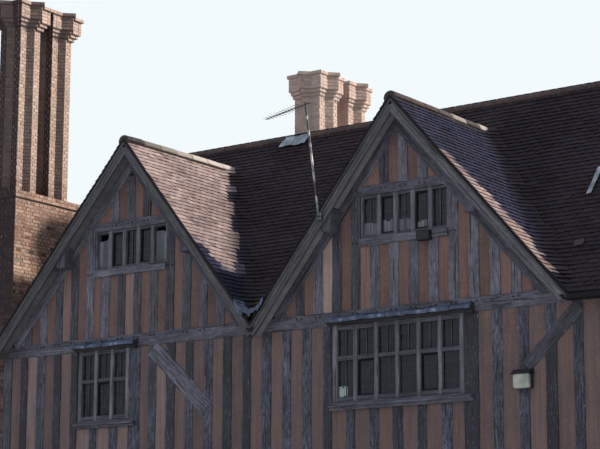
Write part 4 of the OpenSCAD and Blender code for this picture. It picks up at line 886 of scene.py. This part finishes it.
def end_panels(side):
    """The daub panels of one end gable: below its collar, and from there up to the rakes."""
    def under(x):
        return rake_at(END, x, 0.02)

    def low(x):
        return np.minimum(under(x), END_COLLAR + UNDER)

    half = STUD / 2 - UNDER
    made = []
    for i in range(-5, 5):
        a, b = i * END_PITCH + half, (i + 1) * END_PITCH - half
        if max(under(a), under(b)) > PLATE_TOP + 0.05:
            made.append(panel(side, a, b, PLATE_TOP, low))
        if max(under(a), under(b)) > END_COLLAR + COLLAR + 0.05:
            made.append(panel(side, a, b, END_COLLAR + COLLAR - UNDER, under))
    return made


gable_daub = [p for g in GABLES for p in gable_panels(g)]
piece("front_daub", **join(panels["front"] + gable_daub), material=limewash, slot="plaster")
piece("back_daub", **join(panels["back"]), material=limewash, slot="plaster")
piece("end_daub", **join(panels["left"] + panels["right"] + end_panels("left") + end_panels("right")),
      material=limewash, slot="plaster")


# Brickwork: 66 mm courses, English bond on plain walls, the bricks' faces 6 mm out from the solid behind,
# which is the mortar
COURSE, JOINT, BRICK_OUT = 0.066, 0.010, 0.006


def bricks(corner, along, length, z0, courses, stretch, header, painted_shade=0.0):
    """One face of brickwork. Each brick is a block with a flat back on the wall and a smaller face, given its
    own size, stand and shade; even and odd courses take their own rows of joints."""
    corner, along = np.array([*corner, 0.0]), np.array([*along, 0.0])
    away = np.cross(along, UP)
    made = []
    for parity, joints in enumerate((stretch, header)):
        rows = z0 + COURSE * np.arange(parity, courses, 2)
        a, b = joints[:-1] + JOINT / 2, joints[1:] - JOINT / 2
        a[0], b[-1] = -0.002, length + 0.002
        shape = (len(rows), len(a))
        wear = rng.uniform(0, 0.002, (4, *shape))
        lo, hi = rows[:, None] + JOINT / 2 + wear[0], rows[:, None] + COURSE - JOINT / 2 - wear[1]
        stand = BRICK_OUT + rng.normal(0, 0.0015, shape) - 0.006 * (rng.random(shape) < 0.02)
        x = np.stack([a + wear[2], b - wear[3], b - wear[3], a + wear[2]], -1)
        z = np.stack([lo, lo, hi, hi], -1)
        bevel = -0.003 * CORNERS.T
        x = np.concatenate([x, x + bevel[0]], -1)
        z = np.concatenate([z, z + bevel[1]], -1)
        out = np.concatenate([np.full((*shape, 4), -0.002), np.repeat(stand[..., None], 4, -1)], -1)
        points = corner + along * x[..., None] + UP * z[..., None] + away * out[..., None]
        n = shape[0] * shape[1]
        quads = (np.arange(n) * 8)[:, None, None] + BLOCK
        # A face's painted shade lowers its bricks' tone
        shade = np.clip(rng.normal(0.5 - painted_shade, 0.2, n), 0, 1)
        made.append({"points": points.reshape(-1, 3), "faces": [quads.reshape(-1, 4)],
                     "tone": np.repeat(shade, 8)})
    return join(made)


def bonded(corner, along, length, z0, courses, painted_shade=0.0):
    """A face in English bond: rows of stretchers, and rows of headers begun with a quarter brick."""
    stretch = np.linspace(0, length, max(round(length / 0.225), 1) + 1)
    header = 0.056 + 0.1125 * np.arange(max(int((length - 0.08) / 0.1125), 0) + 1)
    header = np.concatenate([[0], header[header < length - 0.04], [length]])
    return bricks(corner, along, length, z0, courses, stretch, header, painted_shade)


def around(x0, x1, y0, y1, z0, courses, painted_shade=0.0):
    """The four faces of a rectangular block of brickwork, from its front, which may take painted shade."""
    return [bonded((x0, y0), (1, 0), x1 - x0, z0, courses, painted_shade=painted_shade),
            bonded((x1, y0), (0, 1), y1 - y0, z0, courses),
            bonded((x1, y1), (-1, 0), x1 - x0, z0, courses),
            bonded((x0, y1), (0, -1), y1 - y0, z0, courses)]


def star_bricks(x, y, a, z0, courses):
    """The sixteen faces of a star-plan shaft of two crossed squares of half side a: points at the root of two
    times a, and re-entrant corners at a over the cosine of 22.5 degrees."""
    turn = np.radians(22.5 * np.arange(17))
    r = np.where(np.arange(17) % 2 == 0, math.sqrt(2) * a, a / math.cos(math.radians(22.5)))
    corners = np.stack([x + r * np.cos(turn), y + r * np.sin(turn)], 1)
    made = []
    for k, (p, q) in enumerate(zip(corners[:-1], corners[1:])):
        length = np.linalg.norm(q - p)
        long = (0.66, 0.30) if k % 2 else (0.34, 0.70)
        joints = [np.array([0, share, 1]) * length for share in long]
        # Faces turned to the front take painted shade
        painted_shade = 0.3 * max(0.0, -math.sin(math.radians(22.5 * k + 11.25)))
        made.append(bricks(p, (q - p) / length, length, z0, courses, *joints, painted_shade))
    return made


def stack(x, y, gap, a, z0, cap, out):
    """Two star shafts, gap apart, from z0 up to the level cap, and their caps over it, which stand out by
    out: three corbelled courses, three plain and a lip."""
    made = []
    for k in (0, 1):
        made += star_bricks(x, y + k * gap, a, z0, round((cap - z0) / COURSE))
        steps = [a + out * s / 3 for s in (1, 2, 3)] + [a + out] * 3 + [a + 1.3 * out]
        for i, wide in enumerate(steps):
            made += star_bricks(x, y + k * gap, wide, cap + i * COURSE, 1)
    return made


def brick_piece(name, parts):
    """A piece of joined faces of brickwork."""
    piece(name, **join(parts), material=red_brick, slot="brick")


# Each stack: the middle of its front shaft, the way back to the next one, half a side of a shaft's squares,
# and half the base's width. The left base has a foot that stands out by FOOT on its left, and a band of two
# courses
LX, LY, L_GAP, LA, LW, FOOT = -8.4205, -2.5795, 0.870, 0.262, 0.4705, 0.15
CX, CY, C_GAP, CA, CW = -3.80, 0.703, 0.946, 0.285, 0.503
brick_piece("left_shaft_bricks", stack(LX, LY, L_GAP, LA, 9.40, 12.66, 0.130))
brick_piece("centre_shaft_bricks", stack(CX, CY, C_GAP, CA, 10.30, 11.27, 0.085))
x0, x1, y0, y1 = LX - LW, LX + LW, LY - LW, LY + LW + L_GAP
foot = [bonded((x0 - FOOT, y1), (0, -1), y1 - y0, 0, 23), bonded((x0 - FOOT, y0), (1, 0), FOOT, 0, 23),
        bonded((x0, y1), (-1, 0), FOOT, 0, 23)]
# The base's front face and the band's front take painted shade
base = around(x0, x1, y0, y1, 0, 140, painted_shade=0.34)
band = around(x0 - 0.03, x1 + 0.03, y0 - 0.03, y1 + 0.03, 9.268, 2, painted_shade=0.3)
brick_piece("left_base_bricks", foot + base + band)
brick_piece("centre_base_bricks", around(CX - CW, CX + CW, CY - CW, CY + CW + C_GAP, 8.0, 35))
# The plinth is seven courses high, and open at the door
P, Q, DOOR_L, DOOR_R = HALF_LONG + 0.04, HALF_DEEP + 0.04, 5.15, 6.15
plinth = [bonded(*face, 0, 7) for face in (((-P, -Q), (1, 0), P + DOOR_L), ((DOOR_R, -Q), (1, 0), P - DOOR_R),
                                           ((P, -Q), (0, 1), 2 * Q), ((P, Q), (-1, 0), 2 * P),
                                           ((-P, Q), (0, -1), 2 * Q))]
brick_piece("plinth_bricks", plinth)


# Windows: wall, left, right, foot and head of the frame, number of lights, tiers, jamb, mullion and rail.
# Each wall's windows stand in both storeys, and each gable has one of a single tier
WINDOWS = []
for side, x, n, pitch in [("front", -5.56, 3, 0.365), ("front", 0.54, 6, 0.395), ("back", -5.4, 4, 0.395),
                          ("back", 0.0, 4, 0.395), ("back", 5.4, 4, 0.395), ("right", 0.0, 4, 0.395)]:
    wide = (n * pitch + 0.09) / 2
    WINDOWS += [(side, x - wide, x + wide, z, z + 1.22, n, 2, 0.09, 0.07, 0.075) for z in (1.88, 4.98)]
for g in GABLES:
    wide, (rail, collar) = 2.5 * g["pitch"] - STUD / 2, rail_of(g)
    x0, x1 = g["mid"] - wide, g["mid"] + wide
    WINDOWS.append(("front", x0, x1, rail + SILL_RAIL, collar, 5, 1, 0.04, 0.08, 0.045))
TRANSOM, TRANSOM_UP = 0.07, 0.69


def frame_of(side, x0, x1, z0, z1, n, tiers, jamb, mullion, rail):
    """Head, foot, jambs, mullions and transom of a window frame."""
    p = (x1 - x0 - jamb) / n
    looks = dict(proud=-0.02, depth=0.13, wander=0.002, arris=0.009)
    levels = [(z0 + rail / 2, rail), (z1 - rail / 2, rail)] + [(z0 + TRANSOM_UP, TRANSOM)] * (tiers == 2)
    # The level rails take a dark tone, which at the heads of the front windows is the painted shadow of the
    # hoods
    made = [timber(side, x0, z, x1, z, high, tone=0.1, **looks) for z, high in levels]
    looks["proud"] = -0.018
    for i in range(n + 1):
        x = x0 + jamb / 2 + i * p
        wide = jamb if i in (0, n) else mullion
        made.append(timber(side, x, z0, x, z1, wide, tone=rng.uniform(0.55, 1), **looks))
    return made


def lights_of(x0, x1, z0, z1, n, tiers, jamb, mullion, rail):
    """The clear boxes of a window's lights, tier by tier from below."""
    p = (x1 - x0 - jamb) / n
    for t in range(tiers):
        lo = z0 + rail if t == 0 else z0 + TRANSOM_UP + TRANSOM / 2
        hi = z0 + TRANSOM_UP - TRANSOM / 2 if t == 0 and tiers == 2 else z1 - rail
        for i in range(n):
            a = x0 + jamb / 2 + i * p + (jamb if i == 0 else mullion) / 2
            b = x0 + jamb / 2 + (i + 1) * p - (jamb if i == n - 1 else mullion) / 2
            yield t, i, a, b, lo, hi


def slab(side, a, b, lo, hi, out, rear, tone=0.5):
    """A block in a wall from its four edges, with how far out its rear and each of its front corners
    stand."""
    x, z = np.array([a, b, b, a]), np.array([lo, lo, hi, hi])
    points = [on_wall(side, x, z, np.broadcast_to(v, 4)) for v in (rear, out)]
    return {"points": np.concatenate(points), "faces": [BLOCK], "tone": np.full(8, tone)}


frames = {"front": [], "gable": [], "plain": []}
panes, cames, bars, boards = [], [], [], []
# Width of a came, how far out the glass stands, which is behind the wall's face, and the height of a quarry
CAME, GLASS, QUARRY = 0.007, -0.075, 0.13
LEFT_GABLE, RIGHT_GABLE = len(WINDOWS) - 2, len(WINDOWS) - 1
# How much of a light's height its boards fill: in the left gable instead of glass, in the right gable before
# it
BOARDED = {(LEFT_GABLE, 0): 0.86, (LEFT_GABLE, 4): 0.9, (RIGHT_GABLE, 0): 0.36, (RIGHT_GABLE, 1): 0.36,
           (RIGHT_GABLE, 2): 0.36, (RIGHT_GABLE, 3): 0.24}


def glaze(side, a, b, lo, hi):
    """Fills a light with panes, three across, each leaning its own way, and with the cames round them."""
    xs, zs = np.linspace(a, b, 4), np.linspace(lo, hi, max(3, round((hi - lo) / QUARRY)) + 1)
    for left, right in zip(xs[:-1], xs[1:]):
        for foot, head in zip(zs[:-1], zs[1:]):
            lean = GLASS + 0.001 + CORNERS @ rng.normal(0, 0.0012, 2)
            shade = np.clip(rng.normal(0.4, 0.15), 0, 0.85)
            panes.append(slab(side, left, right, foot, head, lean, GLASS - 0.006, shade))
    cames.extend(slab(side, x - CAME / 2, x + CAME / 2, lo, hi, GLASS + 0.0045, GLASS - 0.004) for x in xs)
    cames.extend(slab(side, a, b, z - CAME / 2, z + CAME / 2, GLASS + 0.004, GLASS - 0.004) for z in zs)


def board_up(side, a, b, lo, hi, face, depth):
    """Three upright boards over a light or a part of it, with uneven heads."""
    edges = np.linspace(a, b, 4)
    for p, q in zip(edges[:-1], edges[1:]):
        head = hi - rng.uniform(0, 0.035)
        boards.append(timber(side, (p + q) / 2, lo, (p + q) / 2, head, q - p - 0.003, depth=depth,
                             proud=face + rng.uniform(-0.002, 0.002), wander=0.001, arris=0.002))


for k, window in enumerate(WINDOWS):
    side, count, tiers = window[0], window[5], window[6]
    kind = "gable" if tiers == 1 else "front" if side == "front" else "plain"
    frames[kind] += frame_of(*window)
    for t, i, a, b, lo, hi in lights_of(*window[1:]):
        boarded = k == LEFT_GABLE and i in (0, 4)
        if not boarded:
            glaze(side, a, b, lo, hi)
        iron = i in (1, count - 2) and t == 0 and kind != "plain"
        if kind == "front" and (t == 1 or i == 0) or kind == "gable" and not boarded and not iron:
            bars.append(timber(side, (a + b) / 2, lo, (a + b) / 2, hi, 0.014, proud=GLASS + 0.02,
                               depth=-GLASS - 0.008, wander=0.001, arris=0.003, tone=rng.uniform(0.1, 0.4)))
        share = BOARDED.get((k, i))
        if share:
            face, depth, inset = (GLASS - 0.001, 0.100, 0.0) if boarded else (-0.064, 0.076, 0.028 * (i % 2))
            board_up(side, a + inset, b - inset, lo + inset, lo + share * (hi - lo), face, depth)
for kind in frames:
    oak_piece(kind + "_frames", frames[kind], kind + "_window_frames", material=frame_oak)
# A pale card stands against the glass in the lower left corner of the big window
_, x0, _, z0, *_, jamb, _, rail = WINDOWS[3]
a, lo = x0 + jamb, z0 + rail
panes.append(slab("front", a + 0.008, a + 0.175, lo, lo + 0.17, GLASS + 0.0025, GLASS - 0.005, 0.97))
oak_piece("stanchions", bars, material=frame_oak)
piece("window_boards", **join(boards), material=grey_boards, slot="window_board", hides=("boarded_lights",))
piece("quarries", **join(panes), material=old_glass, slot="leaded_glass", hides=("window_glass",))
piece("cames", **join(cames), material=came_lead, slot="lead")


def moulding(side, x0, x1, section, ragged=0.0, wander=0.002):
    """A moulded length along a wall: a closed section, given as out and up, swept with a little wander; the
    section's lowest points may hang raggedly. Its metres run round the section and along the length."""
    m = max(2, int((x1 - x0) / 0.06))
    x = np.linspace(x0, x1, m)
    out, z = np.array(section).T
    if np.sum(z * np.roll(out, -1) - out * np.roll(z, -1)) < 0:
        out, z = out[::-1], z[::-1]
    sway = wander * (np.sin(x * 3.1 + rng.uniform(0, 6)) + 0.5 * np.sin(x * 9.7 + rng.uniform(0, 6)))[:, None]
    low = (z < z.min() + 0.012) * rng.normal(0, 1, (m, 1)) * ragged
    points = on_wall(side, np.broadcast_to(x[:, None], (m, len(z))), z + sway + low, out + 0.5 * sway)
    step = np.concatenate([[0], np.cumsum(np.hypot(np.diff(z), np.diff(out)))])
    uv = np.stack(np.broadcast_arrays(step + rng.uniform(0, 40), x[:, None] + rng.uniform(0, 40)), -1)
    return swept(points, uv=uv, tone=rng.uniform(0.3, 0.8))


def arc(x, z, r, a, b):
    """Eight points on a circle about x and z, from one angle to another in degrees."""
    turn = np.radians(np.linspace(a, b, 8))
    return list(zip(x + r * np.cos(turn), z + r * np.sin(turn)))


# A lead sheet over a hood, the roll at its seams, the hood's hollow and the stop at its end, as out and up
# from the window's head; a quarter ellipse makes the hollow
SHEET = [(0.0, 0.146), (0.144, 0.088), (0.146, 0.036), (0.151, 0.036), (0.152, 0.090), (0.0, 0.150)]
ROLL = [(0.0, 0.149), (0.150, 0.089), (0.150, 0.034), (0.160, 0.034), (0.162, 0.092), (0.150, 0.101),
        (0.0, 0.158)]
turn = np.linspace(0, np.pi / 2, 8)
HOLLOW = [(0, 0), *zip(0.13 - 0.10 * np.cos(turn), 0.05 * np.sin(turn)), (0.146, 0.05), (0.146, 0.088),
          (0.0, 0.146)]
STOP = [(0.0, -0.03), *arc(0.045, 0.01, 0.045, -60, 80), (0.05, 0.085), (0.0, 0.10)]
sills, hoods, caps = [], [], []
for side, x0, x1, z0, z1, n, tiers, *_ in WINDOWS:
    if tiers == 1:
        continue
    base = z0 - 0.14
    past = (0.01, 0.17) if side == "front" else (0.06, 0.06)
    nose = arc(0.09, base, 0.0475, 180, 90) + arc(0.0425, base + 0.0475, 0.0475, 0, 90)
    sills.append(moulding(side, x0 - past[0], x1 + past[1], [(0.0, base)] + nose + [(0.0, base + 0.1175)]))
    rear = [(-0.13, base), (0.0, base), (0.0, base + 0.10), (-0.02, z0), (-0.13, z0)]
    sills.append(moulding(side, x0, x1, rear))
    if side == "front":
        head = np.array([0.0, z1])
        a, b = x0 - 0.06, x1 + 0.21
        hoods.append(moulding(side, a, b, head + HOLLOW))
        seams = np.linspace(a, b, max(2, round((b - a) / 0.41)) + 1)
        caps += [moulding(side, p + 0.003, q - 0.003, head + SHEET, ragged=0.006, wander=0.0025)
                 for p, q in zip(seams[:-1], seams[1:])]
        caps += [moulding(side, x - 0.010, x + 0.010, head + ROLL, wander=0.0) for x in seams[1:-1]]
        hoods.append(moulding(side, b - 0.10, b - 0.002, head + STOP, wander=0.001))
oak_piece("moulded_sills", sills, "window_sills")
oak_piece("hood_mouldings", hoods, "window_hoods", material=hood_oak)
piece("hood_leads", **join(caps), material=hood_lead, slot="lead")


# Verges: two moulded boards under each slope, boarded soffits behind them
def along_rake(g, s, plumb, width, proud, depth, x_end=None, **looks):
    """A straight length under a gable's left (-1) or right (1) slope at a plumb drop to its middle line."""
    slope = g["left"] if s < 0 else g["right"]
    low = x_end if x_end is not None else g["x"] + s * (g["z"] - plumb - VERGE_FOOT) / slope
    z_low = g["z"] - plumb - abs(low - g["x"]) * slope
    return timber("front", low, z_low, g["x"], g["z"] - plumb, width / math.sqrt(1 + slope ** 2), proud=proud,
                  depth=depth, **looks)


# Level where the boards end at the eaves, and how far plumb under the slopes they begin. Then the board, its
# upper moulding, its middle bead and its lower moulding: plumb drop from there, width, how far out the face
# stands, minus how far out the back stands, and the worn arris
VERGE_FOOT, BED = 6.22, 0.055
BOARDS = [(0.125, 0.25, 0.280, -0.240, 0.006), (0.030, 0.060, 0.298, -0.270, 0.008),
          (0.150, 0.016, 0.286, -0.270, 0.006), (0.235, 0.030, 0.290, -0.270, 0.008)]
verge_boards, soffit = [], []
for g in GABLES:
    for s in (-1, 1):
        inner = (s > 0) == (g is GABLES[0])
        looks = dict(x_end=VALLEY - s * 0.002 if inner else None, wander=0.003)
        for drop, width, proud, depth, arris in BOARDS:
            verge_boards.append(along_rake(g, s, BED + drop, width, proud, depth, arris=arris, **looks))
        soffit.append(along_rake(g, s, g["top"] + 0.012, 0.024, 0.24, 0.0, arris=0.003, **looks))
oak_piece("verge_boards", verge_boards, "bargeboards", material=barge_oak)
oak_piece("soffit_boards", soffit, material=soffit_oak)


def draped(x, y, z, drop):
    """A thin sheet laid over something: a grid of places on its upper face, and the same shifted by drop."""
    top = np.stack(np.broadcast_arrays(x, y, z), -1)
    return sheet(top, top + drop, tone=0.5)


# Sheet lead. At the foot of the valley it fills the V with a rounded trough, z = V + 0.16 exp(-(u / 0.12)^2),
# and its lip turns down raggedly over the boards; on the main ridge it is a rounded saddle,
# z = ridge - slope * sqrt(y^2 + 0.05^2), both with dents of a few millimetres
u = np.linspace(-0.30, 0.30, 31)[None, :]
out = np.array([-3.5430, -3.5440, -3.5425, -3.5350, *np.linspace(-3.50, -3.14, 7), -3.09])[:, None]
down = np.array([1.0, 0.5, 0.15, 0.03] + [0.0] * 8)[:, None]
tilt = np.where(u < 0, GABLES[0]["right"], GABLES[1]["left"])
hang = 0.085 + 0.02 * np.sin(31 * u + 1) + 0.014 * np.sin(77 * u) + 0.03 * (u < -0.12)
dents = 0.006 * np.sin(23 * u + 9 * out) * np.sin(17 * out + 2) + 0.003 * rng.normal(0, 1, (12, 31))
z = 6.343 + tilt * np.abs(u) + 0.16 * np.exp(-(u / 0.12) ** 2) + 0.036 + dents - down * hang
outlet = draped(VALLEY + u, out, z, (0.0, 0.004, -0.006))
piece("outlet_lead", **outlet, material=hood_lead, slot="lead", hides=("lead_work",))
lead = []
u = np.linspace(-0.24, 0.24, 21)[:, None]
for a, b in ((SADDLE_L - 0.025, -3.68), (-3.685, SADDLE_R + 0.015)):
    x = np.linspace(a, b, 12)[None, :]
    dents = 0.007 * np.sin(19 * x + 11 * u) + 0.003 * rng.normal(0, 1, (21, 12))
    z = RIDGE - MAIN * np.sqrt(u ** 2 + 0.05 ** 2) + 0.105 + dents + 0.006 * (a < -3.7)
    lead.append(draped(x, u, z, (0.0, 0.0, -0.008)))
# A strip of lead lies up the tiles of the front slope, right of the gables
x, y = np.meshgrid(np.linspace(3.31, 3.39, 5), np.linspace(-2.02, -1.60, 12))
z = RIDGE + MAIN * y + 0.085 + 0.008 * np.sin(14 * x) * np.sin(11 * y + 1) + 0.003 * rng.normal(0, 1, x.shape)
lead.append(draped(x, y, z, (0.0, 0.0, -0.007)))
piece("saddle_lead", **join(lead), material=sheet_lead, slot="lead")

# One tile has slipped and lies skewed on the courses below
along, up = np.array([0.93, 0.13, 0.0]), np.array([-0.20, 0.62, 0.0])
along[2], up[2] = MAIN * along[1], MAIN * up[1]
a, b = np.meshgrid(np.linspace(0, 0.165, 4), np.linspace(0, 0.13, 4))
spot = np.array([3.50, -2.84, RIDGE - MAIN * 2.84 + 0.075]) + a[..., None] * along + b[..., None] * up
piece("slipped_tile", **draped(*np.moveaxis(spot, -1, 0), (0.0, 0.0, -0.014)), material=ridge_clay,
      slot="roof_tile")


def pegs(places, out):
    """Oak pegs 20 mm thick, in pairs 90 mm apart over the joints: eight-sided, with a worn, domed end."""
    made = []
    turn = np.radians(np.arange(8) * 45.0)
    for x, z in places:
        for s in (-0.045, 0.045):
            r = rng.uniform(0.009, 0.012) * np.array([1, 1, 0.7])[:, None]
            depth = np.array([-0.02, out + 0.003, out + 0.006])[:, None] + rng.normal(0, 0.001)
            rings = on_wall("front", x + s + r * np.cos(turn), z + rng.normal(0, 0.004) + r * np.sin(turn),
                            depth + 0 * turn)
            made.append(swept(rings, uv=np.zeros((3, 8, 2)), tone=0.1))
    return made


places = []
for g in GABLES:
    rail, collar = rail_of(g)
    for i in range(-8, 8):
        x = g["mid"] + (i + 0.5) * g["pitch"]
        if rake_at(g, x) > PLATE_TOP + 0.4:
            places.append((x, PLATE_TOP - 0.06))
    places += [(g["mid"] + s * 2.5 * g["pitch"], z) for s in (-1, 1)
               for z in (rail + 0.06, collar + COLLAR / 2)]
    places += [(g["mid"] + i * g["pitch"], collar + COLLAR / 2) for i in (-1, 0, 1)]
oak_piece("frame_pegs", pegs(places, 0.032), material=hood_oak)

# The door: five planks, a frame with worn arrises, three strap hinges, and a ring handle of radii 52 and 7 mm
# that hangs from a plate and whose ends nearly meet at its foot
DOOR_FOOT, DOOR_HEAD, JAMB, LINTEL = 0.18, 2.23, 0.09, 0.075
door = [timber("front", x, DOOR_FOOT, x, DOOR_HEAD, JAMB, proud=-0.03, depth=0.17, wander=0.002)
        for x in (DOOR_L + JAMB / 2, DOOR_R - JAMB / 2)]
lintel_z = DOOR_HEAD + LINTEL / 2
door.append(timber("front", DOOR_L, lintel_z, DOOR_R, lintel_z, LINTEL, proud=-0.028, depth=0.17,
                   wander=0.002))
edges = np.cumsum([DOOR_L + JAMB, 0.17, 0.155, 0.18, 0.16, 0.155])
door += [timber("front", (a + b) / 2, DOOR_FOOT, (a + b) / 2, DOOR_HEAD, b - a - 0.004,
                proud=-0.07 + rng.uniform(-0.002, 0.002), depth=0.125, wander=0.001, arris=0.006)
         for a, b in zip(edges[:-1], edges[1:])]
oak_piece("door_planks", door, "plank_door", material=door_oak)
HINGES, RING_X, RING_Z, RING_R, ROD = (0.50, 1.20, 1.92), 5.955, 1.02, 0.052, 0.007
iron = [timber("front", 5.25, z, 5.93, z, 0.042, proud=-0.062, depth=0.072, wander=0.001, arris=0.004)
        for z in HINGES]
turn = np.radians(np.linspace(0, 345, 24))
loop = np.radians(np.linspace(0, 360, 7)[:-1])
radial = np.stack([np.sin(turn), np.zeros(24), -np.cos(turn)], 1)[:, None]
ring = (np.array([RING_X, 0.082 - HALF_DEEP, RING_Z]) + radial * (RING_R + ROD * np.cos(loop))[:, None]
        + ROD * np.sin(loop)[:, None] * np.array([0.0, -1.0, 0.0]))
iron.append(swept(ring[:, ::-1], uv=np.zeros((24, 6, 2)), tone=0.5))
iron.append(timber("front", RING_X, RING_Z + 0.015, RING_X, RING_Z + 0.085, 0.05, proud=-0.060, depth=0.072,
                   wander=0.0, arris=0.006))
piece("door_iron", **join(iron), material=wrought_iron, slot="window_iron")

# Ribbed glass of the wall light: a superellipse of power 5 in plan, carried upwards with ribs 22 mm apart
LAMP, LAMP_HALF, LAMP_HIGH, RIB = (2.82, -3.288, 4.962), (0.138, 0.044), 0.21, 0.022
t = np.linspace(0, 1, 60)[:, None]
turn = np.radians(np.arange(0, 360, 10))[None, :]
wide = 1 - 0.22 * np.exp(-t / 0.045) + 0.010 * np.cos(2 * np.pi * t * LAMP_HIGH / RIB)
bend = [half * wide * np.sign(f) * np.abs(f) ** 0.4
        for half, f in zip(LAMP_HALF, (np.cos(turn), np.sin(turn)))]
body = np.array(LAMP) + np.stack(np.broadcast_arrays(*bend, LAMP_HIGH * t), -1)
piece("ribbed_glass", **swept(body, tone=0.5), material=lamp_glass, slot="lamp_glass", hides=("light_glass",),
      smooth=True)

# The remaining solids take their finish as they are
FINISHES = [
    (lime_mortar, "left_stack_base left_stack_shafts centre_stack_base centre_stack_shafts"),
    (lime_mortar, "long_plinths end_plinths"),
    (limewash, "front_wall_infill back_wall_infill end_wall_infill front_gable_infill end_gable_infill"),
    (roof_boarding, "main_roof_front main_roof_back left_gable_roof right_gable_roof"),
    (ridge_clay, "ridge_tiles"), (sheet_lead, "lead_work"), (wrought_iron, "iron_casements"),
    (flue_steel, "flue_covers"), (zinc, "aerial aerial_mast"), (lamp_plastic, "outside_lights"),
    (lamp_glass, "light_glass"), (door_oak, "plank_door"), (brick_pavers, "ground_floor"),
    (elm_floor, "first_floor attic_floor")]
for material, names in FINISHES:
    for node in names.split():
        nodes[node].data.materials.clear()
        nodes[node].data.materials.append(material)

# Rolled or cast edges on the metalwork: its corners are welded and rounded
for node, size in (("flue_covers", 0.006), ("outside_lights", 0.014), ("aerial_mast", 0.004),
                   ("iron_casements", 0.003)):
    weld = nodes[node].modifiers.new("weld", "WELD")
    weld.merge_threshold = 0.0002
    bevel = nodes[node].modifiers.new("bevel", "BEVEL")
    bevel.width, bevel.segments, bevel.limit_method = size, 3, "ANGLE"

# The floor under the house: matt pale paper
paper, tree, place, tone = start("studio_floor_paper")
shader = add(tree, "BsdfPrincipled", Base_Color="#e9eaea", Roughness=0.9)
add(tree, "OutputMaterial", Surface=shader)
mesh = bpy.data.meshes.new("studio_floor")
mesh.from_pydata([(-400, -400, -0.004), (400, -400, -0.004), (400, 400, -0.004), (-400, 400, -0.004)], [],
                 [(0, 1, 2, 3)])
mesh.materials.append(paper)
floor = bpy.data.objects.new("studio_floor", mesh)
scene.collection.objects.link(floor)
